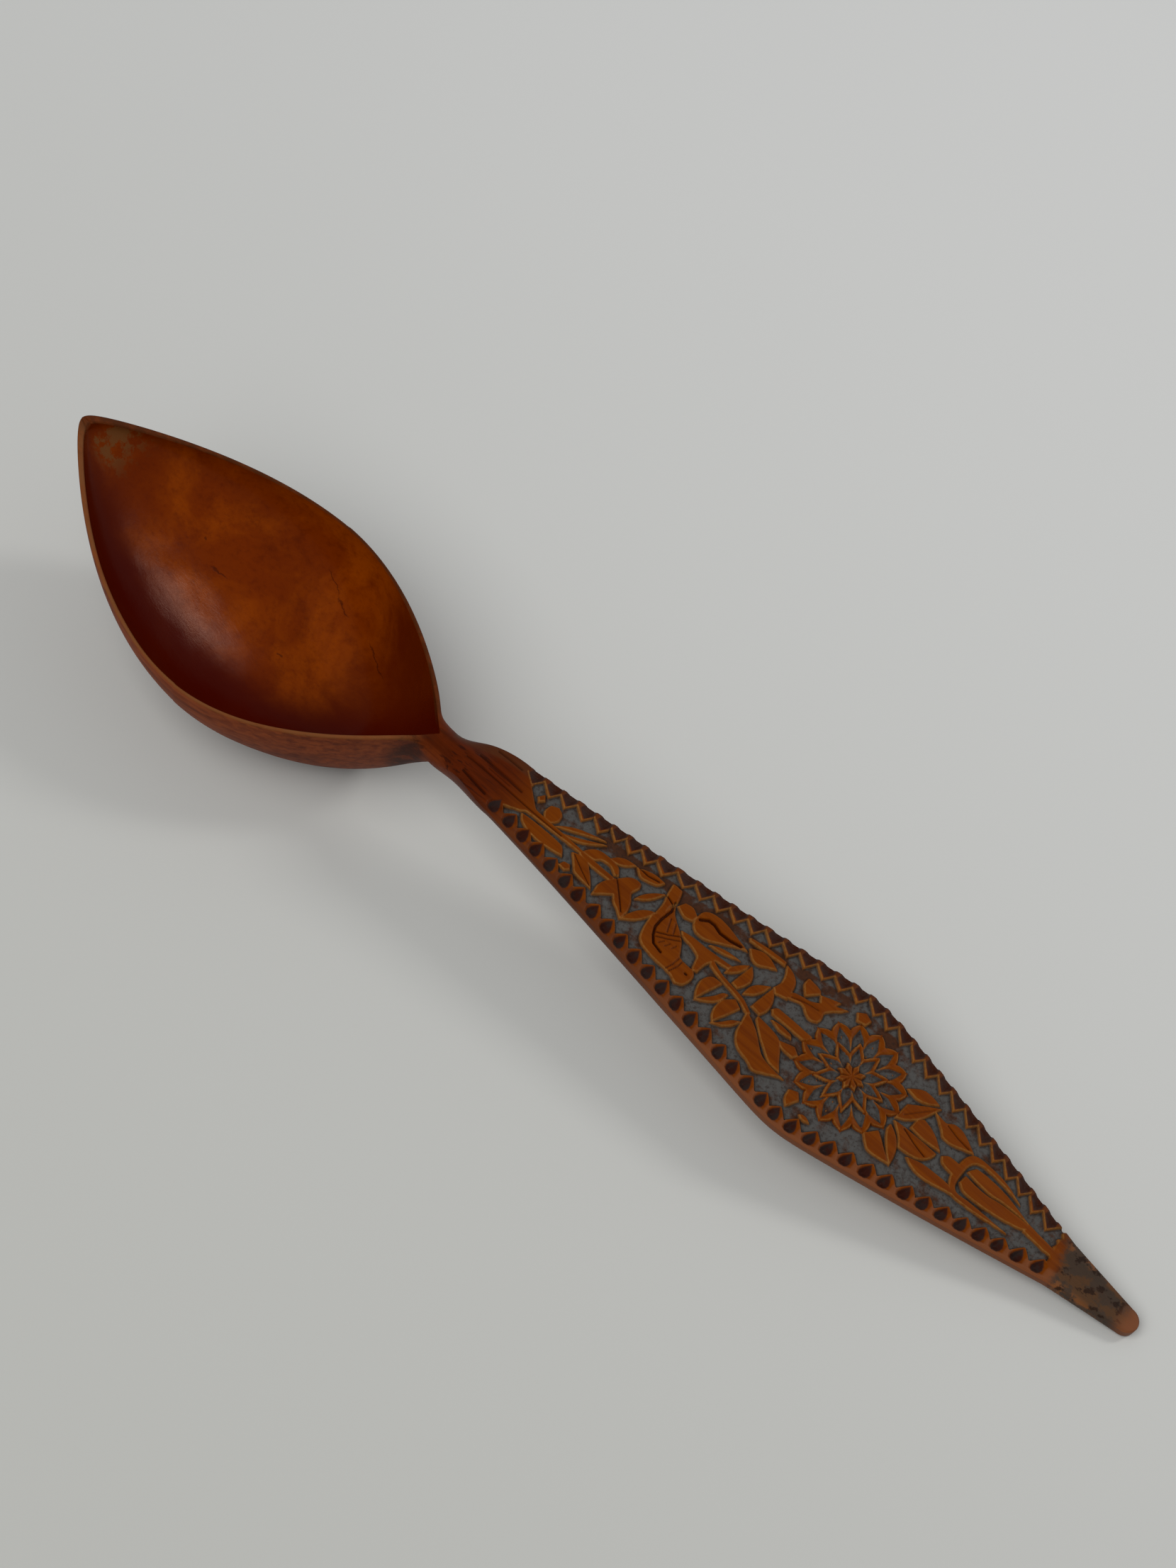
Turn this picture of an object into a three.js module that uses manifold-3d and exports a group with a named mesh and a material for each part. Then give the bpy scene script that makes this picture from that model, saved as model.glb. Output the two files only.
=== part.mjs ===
// A carved wooden spoon: a thin leaf-shaped bowl, a narrow round neck and a flat lozenge-shaped
// handle with chip-carved borders around a sunk field of relief carving.
// Millimetres, +Z up. The carving frame has its origin where the rims of the bowl meet the neck,
// +X towards the end of the handle, and Z = 0 on the handle's flat face. The finished spoon is tilted
// so that it lies as it does on a table, on the bottom of its bowl and the end of its handle.
import * as THREE from "three";
import { mergeVertices } from "three/addons/utils/BufferGeometryUtils.js";
import Module from "manifold-3d";

const wasm = await Module();
wasm.setup();

// Bowl
const BOWL_LENGTH = 101.9;
const BOWL_HALF_WIDTH = 27.4;
const WIDEST = 0.47;              // place of the widest section, as a share of the bowl's length
const ROOT_ROUNDNESS = 1.86;
const TIP_ROUNDNESS = 1.96;
const TIP_BLUNTING = 1.5;
const TIP_RISE = 2.6;             // the tip stands this far above the handle's face plane
const RIM_SAG = 10.1;             // how far the rims dip between neck and tip
const RIM_SAG_SKEW = 0.17;
const TIP_THICKNESS = 2.0;
const KEEL_DEPTH = 33.5;
const KEEL_PLACE = 0.345;
const ROOT_DEPTH = 9.2;
const ROOT_STEEPNESS = 3.1;
const TIP_FAIRNESS = 1.59;
const HULL_ROUNDNESS = 2.19;
const RIM_THICKNESS = 1.0;
const FLOOR_THICKNESS = 2.4;
const CAVITY_START = 2.4;
const CAVITY_END_WALL = 2.6;
const CAVITY_TIP_WALL = 1.2;

// Neck
const NECK_RADIUS = 4.0;
const NECK_CREST = -1.2;
const NECK_PLACE = 1.0;           // the narrowest section, and the boundary of bowl and neck
const NECK_REACH = 5.0;           // how far the round section fades along the spoon
const NECK_END = 20.0;

// Handle
const HANDLE_LENGTH = 179.2;
const SHOULDER_START = 0.5;
const SHOULDER_END = 17.0;
const SHOULDER_HALF_WIDTH = 7.15;
const RISING_BOW = 0.16;          // how far the side between shoulder and corner departs from straight
const CORNER_PLACE = 100.5;
const CORNER_HALF_WIDTH = 19.1;
const CORNER_SOFTNESS = 0.9;
const LOWER_END = 160.0;
const LOWER_END_HALF_WIDTH = 5.3;
const FALLING_BOW = 0.12;         // the same, between corner and lower end
const TIP_RADIUS = 3.0;
const EDGE_HEIGHT = 2.0;
const BACK_THICKNESS = 5.5;
const BACK_ROUNDNESS = 2.6;
const END_THICKNESS = 3.6;

// Carving
const CHIP_PITCH = 4.11;
const CHIP_COUNT = 34;
const CHIP_FIRST_NEAR = 21.3;
const CHIP_FIRST_FAR = 22.9;
const CHIP_LENGTH = 3.9;
const CHIP_WIDTH = 3.1;
const CHIP_DEPTH = 0.9;
const CHIP_INSET = 2.2;
const FIELD_START = 25.0;
const FIELD_END = 157.0;
const FIELD_BORDER = 4.6;
const FIELD_DEPTH = 0.8;

// Rest
const RESTING_TILT = THREE.MathUtils.degToRad(8.3);
const WORN_FLAT_DEPTH = 0.4;

const JOINT_GAP = 0.3;
const WOOD = { color: 0x8a4312, roughness: 0.45, metalness: 0.0 };
const CARVED_WOOD = { color: 0x83430f, roughness: 0.6, metalness: 0.0 };

const { lerp, smoothstep } = THREE.MathUtils;

function softMin(a, b, softness) {
  return -softness * Math.log(Math.exp(-a / softness) + Math.exp(-b / softness));
}

function softMax(a, b, softness) {
  return -softMin(-a, -b, softness);
}

// Share of the bowl's length, 0 at the neck and 1 at the tip.
function bowlShare(x) {
  return THREE.MathUtils.clamp(-x / BOWL_LENGTH, 0, 1);
}

function leafOutline(share, halfWidth) {
  const towardsRoot = 1 - Math.pow(Math.abs((WIDEST - share) / WIDEST), ROOT_ROUNDNESS);
  const towardsTip = 1 - Math.pow(Math.abs((share - WIDEST) / (1 - WIDEST)), TIP_ROUNDNESS);
  return halfWidth * Math.max(0, share < WIDEST ? towardsRoot : towardsTip);
}

function bluntTip(share, halfWidth) {
  if (share < WIDEST) {
    return halfWidth;
  }
  return Math.sqrt(Math.max(0, halfWidth * halfWidth - TIP_BLUNTING * TIP_BLUNTING));
}

function rimHeight(x) {
  const share = bowlShare(x);
  const skew = 1 + RIM_SAG_SKEW * (2 * share - 1);
  return TIP_RISE * share - 4 * RIM_SAG * share * (1 - share) * skew;
}

// Height of the bowl's lowest line, under the middle of each section.
function keelHeight(share, depth, rootHeight, tipHeight) {
  if (share < KEEL_PLACE) {
    const fall = 1 - Math.pow(1 - share / KEEL_PLACE, ROOT_STEEPNESS);
    return lerp(rootHeight, -depth, fall);
  }
  const rise = Math.pow((share - KEEL_PLACE) / (1 - KEEL_PLACE), TIP_FAIRNESS);
  return lerp(-depth, tipHeight, rise);
}

// 1 at the narrowest section of the neck, fading to 0 in the bowl and in the handle.
function neckInfluence(x) {
  const distance = (x - NECK_PLACE) / NECK_REACH;
  return Math.exp(-distance * distance);
}

// A way from 0 to 1 that is straight when bow is 0, and gentler at its start the larger bow is.
function bowed(share, bow) {
  return (1 - bow) * share + bow * share * share;
}

function bladeHalfWidth(x) {
  const up = (x - SHOULDER_END) / (CORNER_PLACE - SHOULDER_END);
  const rising = lerp(SHOULDER_HALF_WIDTH, CORNER_HALF_WIDTH, bowed(up, RISING_BOW));
  const down = (x - CORNER_PLACE) / (LOWER_END - CORNER_PLACE);
  const falling = lerp(CORNER_HALF_WIDTH, LOWER_END_HALF_WIDTH, bowed(down, FALLING_BOW));
  return softMin(rising, falling, CORNER_SOFTNESS);
}

function endHalfWidth(x) {
  const along = (x - LOWER_END) / (HANDLE_LENGTH - TIP_RADIUS - LOWER_END);
  if (along <= 1) {
    return lerp(LOWER_END_HALF_WIDTH, TIP_RADIUS, along);
  }
  const past = x - (HANDLE_LENGTH - TIP_RADIUS);
  return Math.sqrt(Math.max(0.04, TIP_RADIUS * TIP_RADIUS - past * past));
}

function handleHalfWidth(x) {
  if (x > LOWER_END) {
    return endHalfWidth(x);
  }
  if (x > SHOULDER_END) {
    return bladeHalfWidth(x);
  }
  return lerp(NECK_RADIUS, SHOULDER_HALF_WIDTH, smoothstep(x, SHOULDER_START, SHOULDER_END));
}

function halfWidth(x) {
  if (x > 0) {
    return handleHalfWidth(x);
  }
  const share = bowlShare(x);
  const leaf = bluntTip(share, leafOutline(share, BOWL_HALF_WIDTH));
  return share > WIDEST ? Math.max(leaf, 0.1) : softMax(leaf, NECK_RADIUS, 0.5);
}

// Heights of one section: the crest of its top, its widest level, and its lowest point.
function sectionLevels(x) {
  const influence = neckInfluence(x);
  const face = x < 0 ? rimHeight(x) : 0;
  const underside = x < 0
    ? keelHeight(bowlShare(x), KEEL_DEPTH, -ROOT_DEPTH, TIP_RISE - TIP_THICKNESS)
    : handleUnderside(x);
  return {
    crest: face + NECK_CREST * influence,
    shoulder: face - (NECK_RADIUS - NECK_CREST) * influence,
    underside,
  };
}

function handleUnderside(x) {
  const neckToBlade = lerp(-ROOT_DEPTH, -BACK_THICKNESS, smoothstep(x, 0, NECK_END));
  return lerp(neckToBlade, -END_THICKNESS, smoothstep(x, CORNER_PLACE, HANDLE_LENGTH));
}

function sideHeight(x) {
  return EDGE_HEIGHT * smoothstep(x, SHOULDER_END / 2, 1.5 * NECK_END);
}

// One closed ring of points around the spoon, counter-clockwise seen from the end of the handle.
function ringAt(x) {
  const { crest, shoulder, underside } = sectionLevels(x);
  const half = halfWidth(x);
  const roundness = lerp(HULL_ROUNDNESS, BACK_ROUNDNESS, smoothstep(x, -10, 10));
  const sideBottom = shoulder - sideHeight(x);
  const ring = [];
  const topSteps = 6;
  for (let i = 0; i <= topSteps; i++) {
    const angle = (Math.PI * i) / topSteps;
    ring.push(superellipsePoint(x, half, shoulder, crest - shoulder, angle, 2));
  }
  const underSteps = 16;
  for (let i = 0; i <= underSteps; i++) {
    const angle = Math.PI + (Math.PI * i) / underSteps;
    ring.push(superellipsePoint(x, half, sideBottom - 0.02, sideBottom - underside, angle, roundness));
  }
  return ring;
}

function superellipsePoint(x, half, middle, height, angle, roundness) {
  const c = Math.cos(angle);
  const s = Math.sin(angle);
  const y = half * Math.sign(c) * Math.pow(Math.abs(c), 2 / roundness);
  const z = middle + height * Math.sign(s) * Math.pow(Math.abs(s), 2 / roundness);
  return new THREE.Vector3(x, y, z);
}

// Joins rings of equal length into one closed solid, with a fan over each end.
function loft(rings) {
  const size = rings[0].length;
  const points = rings.flat();
  const faces = [];
  for (let r = 0; r + 1 < rings.length; r++) {
    for (let i = 0; i < size; i++) {
      const a = r * size + i;
      const b = r * size + ((i + 1) % size);
      faces.push([a, b, b + size], [a, b + size, a + size]);
    }
  }
  const last = (rings.length - 1) * size;
  for (let i = 1; i + 1 < size; i++) {
    faces.push([0, i + 1, i], [last, last + i, last + i + 1]);
  }
  const geometry = new THREE.BufferGeometry();
  geometry.setAttribute("position", new THREE.Float32BufferAttribute(points.flatMap((p) => p.toArray()), 3));
  geometry.setIndex(faces.flat());
  return geometry;
}

function stations(from, to, count) {
  return Array.from({ length: count + 1 }, (_, i) => lerp(from, to, i / count));
}

// Stations that crowd towards the first one, for a rounded end.
function crowdedStations(from, to, count) {
  return Array.from({ length: count + 1 }, (_, i) => {
    return lerp(from, to, 1 - Math.cos((Math.PI / 2) * (i / count)));
  });
}

function toSolid(geometry) {
  const bare = geometry.clone();
  bare.deleteAttribute("normal");
  bare.deleteAttribute("uv");
  const merged = mergeVertices(bare, 1e-4);
  return new wasm.Manifold(new wasm.Mesh({
    numProp: 3,
    vertProperties: new Float32Array(merged.attributes.position.array),
    triVerts: new Uint32Array(merged.index.array),
  }));
}

function toGeometry(solid) {
  const mesh = solid.getMesh();
  const geometry = new THREE.BufferGeometry();
  geometry.setAttribute("position", new THREE.BufferAttribute(new Float32Array(mesh.vertProperties), 3));
  geometry.setIndex(new THREE.BufferAttribute(new Uint32Array(mesh.triVerts), 1));
  geometry.computeVertexNormals();
  return geometry;
}

// The floor in the carving frame: a plane at the resting tilt, just above the lowest line of the bowl.
function floorLevel() {
  const heights = stations(-BOWL_LENGTH, 0, 200).map((x) => {
    return sectionLevels(x).underside * Math.cos(RESTING_TILT) - x * Math.sin(RESTING_TILT);
  });
  return Math.min(...heights) + WORN_FLAT_DEPTH;
}

function floorCutter() {
  const depth = 40;
  const box = new THREE.BoxGeometry(600, 120, depth);
  box.translate(0, 0, floorLevel() - depth / 2);
  box.rotateY(-RESTING_TILT);
  return toSolid(box);
}

// Lowest line of the hollow: steeper than the hull at the root, and parallel to it towards the tip.
function cavityFloor(x, share) {
  const rim = rimHeight(x);
  const place = share < KEEL_PLACE ? share : bowlShare(x);
  const tipHeight = TIP_RISE - TIP_THICKNESS + CAVITY_TIP_WALL;
  const floor = keelHeight(place, KEEL_DEPTH - FLOOR_THICKNESS, rim - 1, tipHeight);
  return Math.min(floor, rim - 0.4);
}

// The hollow of the bowl: the outer shape shrunk by the wall, and open far above the rims.
function cavitySolid() {
  const length = BOWL_LENGTH - CAVITY_START - CAVITY_END_WALL;
  const lid = 12;
  const rings = stations(1, 0, 30).map((share) => {
    const x = -CAVITY_START - length * share;
    const leaf = leafOutline(share, BOWL_HALF_WIDTH - RIM_THICKNESS);
    const half = Math.max(0.15, bluntTip(share, leaf));
    const rim = rimHeight(x);
    const keel = cavityFloor(x, share);
    const ring = [new THREE.Vector3(x, half, rim + lid), new THREE.Vector3(x, -half, rim + lid)];
    const steps = 16;
    for (let i = 0; i <= steps; i++) {
      const angle = Math.PI + (Math.PI * i) / steps;
      ring.push(superellipsePoint(x, half, rim, rim - keel, angle, HULL_ROUNDNESS));
    }
    return ring;
  });
  return toSolid(loft(rings));
}

function bowlGeometry() {
  const tipStations = crowdedStations(-BOWL_LENGTH + TIP_BLUNTING, -BOWL_LENGTH * WIDEST, 16);
  const rootStations = crowdedStations(NECK_PLACE, -BOWL_LENGTH * WIDEST, 16).reverse();
  const rings = [...tipStations, ...rootStations.slice(1)].map(ringAt);
  return toGeometry(toSolid(loft(rings)).subtract(cavitySolid()).subtract(floorCutter()));
}

function neckGeometry() {
  const rings = stations(NECK_PLACE + JOINT_GAP, NECK_END, 10).map(ringAt);
  return toGeometry(toSolid(loft(rings)));
}

// A four-sided chip, point down, long across the border. The cone has its full size at the face.
function chipCutter(x, side) {
  const half = handleHalfWidth(x);
  const overshoot = 1.5;
  const height = overshoot * CHIP_DEPTH;
  const cone = new THREE.ConeGeometry(overshoot / 2, height, 4);
  cone.rotateX(-Math.PI / 2);
  cone.scale(CHIP_WIDTH, CHIP_LENGTH, 1);
  cone.translate(x, side * (half - CHIP_INSET), height / 2 - CHIP_DEPTH);
  return toSolid(cone);
}

function chipRow(side, first) {
  return Array.from({ length: CHIP_COUNT }, (_, i) => chipCutter(first + i * CHIP_PITCH, side));
}

// The sunk field between the borders.
function fieldCutter() {
  const outline = new THREE.Shape();
  const along = stations(FIELD_START, FIELD_END, 40);
  const edge = (x) => Math.max(0.6, handleHalfWidth(x) - FIELD_BORDER);
  outline.setFromPoints([
    ...along.map((x) => new THREE.Vector2(x, -edge(x))),
    ...along.reverse().map((x) => new THREE.Vector2(x, edge(x))),
  ]);
  const block = new THREE.ExtrudeGeometry(outline, { depth: 4, bevelEnabled: false });
  block.translate(0, 0, -FIELD_DEPTH);
  return toSolid(block);
}

function handleGeometry() {
  const blade = stations(NECK_END + JOINT_GAP, LOWER_END, 34);
  const end = crowdedStations(HANDLE_LENGTH, LOWER_END, 12).reverse().slice(1);
  const rings = [...blade, ...end].map(ringAt);
  const cutters = [
    fieldCutter(),
    ...chipRow(1, CHIP_FIRST_FAR),
    ...chipRow(-1, CHIP_FIRST_NEAR),
    floorCutter(),
  ];
  let solid = toSolid(loft(rings));
  for (const cutter of cutters) {
    solid = solid.subtract(cutter);
  }
  return toGeometry(solid);
}

function addPiece(parent, name, geometry, finish) {
  const mesh = new THREE.Mesh(geometry, new THREE.MeshStandardMaterial(finish));
  mesh.name = name;
  parent.add(mesh);
}

// Lays the tilted spoon on Z = 0 with the middle of its plan over the origin.
function layDown(spoon) {
  spoon.rotation.y = RESTING_TILT;
  spoon.updateMatrixWorld(true);
  const extent = new THREE.Box3().setFromObject(spoon, true);
  spoon.position.set(-(extent.min.x + extent.max.x) / 2, 0, -floorLevel());
}

const spoon = new THREE.Group();
addPiece(spoon, "bowl", bowlGeometry(), WOOD);
addPiece(spoon, "neck", neckGeometry(), WOOD);
addPiece(spoon, "handle", handleGeometry(), CARVED_WOOD);
layDown(spoon);

export default spoon;
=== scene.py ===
"""A carved wooden spoon: a thin leaf-shaped bowl, a narrow round neck and a flat lozenge-shaped handle
with chip-carved borders around a sunk field of leaves, tulips, a bird and a rosette.

The shapes are worked out in the carving frame, in millimetres: the origin is where the rims of the bowl
meet the neck, +X runs to the end of the handle and Z = 0 is the flat face of the handle. lay_down() then
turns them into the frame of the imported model, in metres.
"""

import bpy
import numpy as np
from mathutils import Matrix, Vector


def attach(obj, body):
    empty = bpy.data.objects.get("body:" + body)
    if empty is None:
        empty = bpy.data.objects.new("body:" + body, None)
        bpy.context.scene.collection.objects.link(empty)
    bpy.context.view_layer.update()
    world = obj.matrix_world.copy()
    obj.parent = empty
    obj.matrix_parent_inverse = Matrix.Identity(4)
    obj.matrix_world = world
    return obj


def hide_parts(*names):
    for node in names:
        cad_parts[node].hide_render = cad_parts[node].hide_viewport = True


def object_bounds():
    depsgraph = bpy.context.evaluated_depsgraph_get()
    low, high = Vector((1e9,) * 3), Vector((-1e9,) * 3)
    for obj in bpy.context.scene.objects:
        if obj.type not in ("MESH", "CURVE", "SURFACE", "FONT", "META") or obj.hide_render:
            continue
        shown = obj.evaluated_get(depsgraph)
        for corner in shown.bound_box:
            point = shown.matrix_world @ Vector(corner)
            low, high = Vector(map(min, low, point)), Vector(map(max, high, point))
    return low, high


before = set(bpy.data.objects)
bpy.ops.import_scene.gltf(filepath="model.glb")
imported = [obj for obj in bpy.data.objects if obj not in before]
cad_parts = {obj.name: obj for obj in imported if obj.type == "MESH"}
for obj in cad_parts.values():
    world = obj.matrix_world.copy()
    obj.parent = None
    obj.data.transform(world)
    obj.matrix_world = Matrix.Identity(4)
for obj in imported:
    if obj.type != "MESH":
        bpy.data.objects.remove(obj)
cad_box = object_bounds()

# ---------------------------------------------------------------- dimensions, in millimetres

BOWL_LENGTH = 101.9
BOWL_HALF_WIDTH = 27.4
WIDEST = 0.47                 # place of the widest section, as a share of the bowl's length
ROOT_ROUNDNESS = 1.86
TIP_ROUNDNESS = 1.96
TIP_BLUNTING = 2.2
TIP_RISE = 2.6                # the tip stands this far above the handle's face plane
RIM_SAG = 10.1                # how far the rims dip between neck and tip
RIM_SAG_SKEW = 0.17
TIP_THICKNESS = 2.0
KEEL_DEPTH = 33.5
KEEL_PLACE = 0.345
ROOT_DEPTH = 9.2
ROOT_STEEPNESS = 3.1
TIP_FAIRNESS = 1.59
HULL_ROUNDNESS = 2.19
RIM_THICKNESS = 0.55
RIM_ROUNDING = 0.22
FLOOR_THICKNESS = 2.4
CAVITY_START = 1.3
CAVITY_END_WALL = 1.8
CAVITY_TIP_WALL = 1.2

NECK_RADIUS = 4.0
NECK_CREST = -1.2
NECK_PLACE = 1.0              # the narrowest section, and the boundary of bowl and neck
NECK_REACH = 5.0              # how far the round section fades along the spoon
NECK_END = 20.0

HANDLE_LENGTH = 179.2
SHOULDER_START = 0.5
SHOULDER_END = 17.0
SHOULDER_HALF_WIDTH = 7.15
RISING_BOW = 0.16             # how far the side between shoulder and corner departs from straight
CORNER_PLACE = 100.5
CORNER_HALF_WIDTH = 19.1
CORNER_SOFTNESS = 0.9
LOWER_END = 160.0
LOWER_END_HALF_WIDTH = 5.3
FALLING_BOW = 0.12            # the same, between corner and lower end
TIP_RADIUS = 2.7
EDGE_HEIGHT = 1.2
EDGE_GROWS = (15, 75)         # the side walls reach their full height between these places
BACK_THICKNESS = 5.5
BACK_ROUNDNESS = 2.6
END_THICKNESS = 3.6

RESTING_TILT = np.radians(8.3)
WORN_FLAT_DEPTH = 0.4

# Carving
GROUND_DEPTH = 0.95
WALL_WIDTH = 0.28             # the walls of the raised wood lean out this far
CARVING_FADES_IN = (8, 20)    # no carving before the first place, full carving after the second
NEAR_TEETH = 35
NEAR_FIRST = 17.3
NEAR_PITCH = 4.11
NEAR_ROOT = 2.5               # the teeth of the near border separate this far in from the edge
NEAR_PEAK = 4.55              # and their points stand this far in
NEAR_PIT_DEPTH = 1.15
FAR_TEETH = 34
FAR_FIRST = 19.45
FAR_PITCH = 4.07
FAR_LEAN = 0.14               # the points lean this share of the pitch towards the handle's end
FAR_DRIFT = (48, 7, 0.9)      # around here, for about this far, the teeth stand this much nearer the neck
FAR_TOP = 1.35                # the zigzag of the far border runs between these distances from the edge
FAR_POINT = 3.6
FAR_PIT_DEPTH = 1.2
RIDGE_WIDTH = 0.23
FIELD_END = 157.6             # beyond this the handle's face is plain
ROSETTE_CENTRE = (105.75, 1.1)
ROSETTE_RADIUS = 12.0
ROSETTE_TURN = 4.0            # degrees

# Camera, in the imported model's frame, in metres
CAMERA_PLACE = Vector((0.16977, -0.33852, 0.61519))
CAMERA_FORWARD = Vector((-0.25545, 0.49410, -0.83103))
CAMERA_UP = Vector((-0.57237, 0.61545, 0.54186))
LENS = 81.05                  # on a 36 mm sensor, along the long side of the picture

# Fineness of the meshes
BOWL_RINGS = (46, 136, 70)    # tip, body and root
BOWL_ZONES = (-80, -8)        # the body lies between these places
NECK_RINGS = 108
BLADE_RINGS = 800
END_RINGS = 70
FACE_COLUMNS = 216
HOLLOW_STEPS = 131
HULL_STEPS = 96
BACK_STEPS = 40

SEED = 7


# ---------------------------------------------------------------- small mathematics

def smooth(value, low, high):
    t = np.clip((value - low) / (high - low), 0, 1)
    return t * t * (3 - 2 * t)


def lerp(a, b, t):
    return a + (b - a) * t


def soft_min(a, b, softness):
    return -softness * np.log(np.exp(-a / softness) + np.exp(-b / softness))


def soft_max(a, b, softness):
    return -soft_min(-a, -b, softness)


def value_noise(x, y, cell, seed):
    """Smooth random values between -1 and 1, one lattice value every cell."""
    lattice = np.random.default_rng(seed).uniform(-1, 1, (257, 257))
    u = x / cell + 57
    v = y / cell + 91
    i = np.floor(u).astype(int)
    j = np.floor(v).astype(int)
    s = smooth(u - i, 0, 1)
    t = smooth(v - j, 0, 1)
    a = lattice[i % 256, j % 256]
    b = lattice[(i + 1) % 256, j % 256]
    c = lattice[i % 256, (j + 1) % 256]
    d = lattice[(i + 1) % 256, (j + 1) % 256]
    return lerp(lerp(a, b, s), lerp(c, d, s), t)


def blurred(grid, rounds):
    """The grid smoothed by the given rounds of a small filter, along both ways."""
    result = grid.copy()
    for _ in range(rounds):
        padded = np.pad(result, 1, mode="edge")
        result = (padded[:-2, 1:-1] + padded[2:, 1:-1] + padded[1:-1, :-2] + padded[1:-1, 2:]) / 8
        result += padded[1:-1, 1:-1] / 2
    return result


# ---------------------------------------------------------------- shape of the spoon

def bowl_share(x):
    return np.clip(-x / BOWL_LENGTH, 0, 1)


def leaf_outline(share, half):
    towards_root = 1 - np.abs((WIDEST - share) / WIDEST) ** ROOT_ROUNDNESS
    towards_tip = 1 - np.abs((share - WIDEST) / (1 - WIDEST)) ** TIP_ROUNDNESS
    return half * np.maximum(0, np.where(share < WIDEST, towards_root, towards_tip))


def blunt_tip(share, half):
    blunted = np.sqrt(np.maximum(0, half**2 - TIP_BLUNTING**2))
    return np.where(share < WIDEST, half, blunted)


def rim_height(x):
    share = bowl_share(x)
    skew = 1 + RIM_SAG_SKEW * (2 * share - 1)
    return TIP_RISE * share - 4 * RIM_SAG * share * (1 - share) * skew


def keel_height(share, depth, root_height, tip_height):
    fall = 1 - np.maximum(0, 1 - share / KEEL_PLACE) ** ROOT_STEEPNESS
    rise = np.maximum(0, (share - KEEL_PLACE) / (1 - KEEL_PLACE)) ** TIP_FAIRNESS
    return np.where(share < KEEL_PLACE, lerp(root_height, -depth, fall), lerp(-depth, tip_height, rise))


def neck_influence(x):
    return np.exp(-(((x - NECK_PLACE) / NECK_REACH) ** 2))


def bowed(share, bow):
    """A way from 0 to 1 that is straight when bow is 0, and gentler at its start the larger bow is."""
    return (1 - bow) * share + bow * share * share


def blade_half_width(x):
    up = (x - SHOULDER_END) / (CORNER_PLACE - SHOULDER_END)
    rising = lerp(SHOULDER_HALF_WIDTH, CORNER_HALF_WIDTH, bowed(up, RISING_BOW))
    down = (x - CORNER_PLACE) / (LOWER_END - CORNER_PLACE)
    falling = lerp(CORNER_HALF_WIDTH, LOWER_END_HALF_WIDTH, bowed(down, FALLING_BOW))
    return soft_min(rising, falling, CORNER_SOFTNESS)


def end_half_width(x):
    straight_end = HANDLE_LENGTH - TIP_RADIUS
    tapering = lerp(LOWER_END_HALF_WIDTH, TIP_RADIUS, (x - LOWER_END) / (straight_end - LOWER_END))
    rounded = np.sqrt(np.maximum(0.04, TIP_RADIUS**2 - np.maximum(0, x - straight_end) ** 2))
    return np.where(x < straight_end, tapering, rounded)


def half_width(x):
    share = bowl_share(x)
    leaf = blunt_tip(share, leaf_outline(share, BOWL_HALF_WIDTH))
    bowl = np.where(share > WIDEST, np.maximum(leaf, 0.1), soft_max(leaf, NECK_RADIUS, 0.5))
    shoulder = lerp(NECK_RADIUS, SHOULDER_HALF_WIDTH, smooth(x, SHOULDER_START, SHOULDER_END))
    blade = np.where(x > SHOULDER_END, blade_half_width(x), shoulder)
    handle = np.where(x > LOWER_END, end_half_width(x), blade)
    return np.where(x > 0, handle, bowl)


def underside_height(x):
    bowl = keel_height(bowl_share(x), KEEL_DEPTH, -ROOT_DEPTH, TIP_RISE - TIP_THICKNESS)
    neck_to_blade = lerp(-ROOT_DEPTH, -BACK_THICKNESS, smooth(x, 0, NECK_END))
    handle = lerp(neck_to_blade, -END_THICKNESS, smooth(x, CORNER_PLACE, HANDLE_LENGTH))
    return np.where(x < 0, bowl, handle)


def face_height(x):
    return np.where(x < 0, rim_height(x), 0.0)


def crest_height(x):
    return face_height(x) + NECK_CREST * neck_influence(x)


def shoulder_height(x):
    return face_height(x) - (NECK_RADIUS - NECK_CREST) * neck_influence(x)


def arch_height(x, y, half):
    """The uncarved top: round over the neck, flat over the handle and over the rims."""
    round_share = np.sqrt(np.maximum(0, 1 - (y / half) ** 2))
    return shoulder_height(x) + (crest_height(x) - shoulder_height(x)) * round_share


def hull_curve(angle, roundness):
    """Across and down shares of half an ellipse-like section, angle 0 at one edge and pi at the other."""
    c = np.cos(angle)
    across = np.sign(c) * np.abs(c) ** (2 / roundness)
    down = np.sin(angle).clip(0) ** (2 / roundness)
    return across, down


# ---------------------------------------------------------------- relief of the handle

def lens(root, tip, left, right):
    """A leaf between two bowed edges, each with its own swelling to the left or right of the midrib."""
    root = np.array(root, float)
    way = np.array(tip, float) - root
    normal = np.array([-way[1], way[0]]) / np.hypot(*way)
    share = np.linspace(0, 1, 11)
    swelling = np.sin(np.pi * share**0.85)[:, None]
    middle = root + share[:, None] * way
    left_edge = middle + left * swelling * normal
    right_edge = middle - right * swelling * normal
    return np.vstack([left_edge, right_edge[-2:0:-1]])


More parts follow.
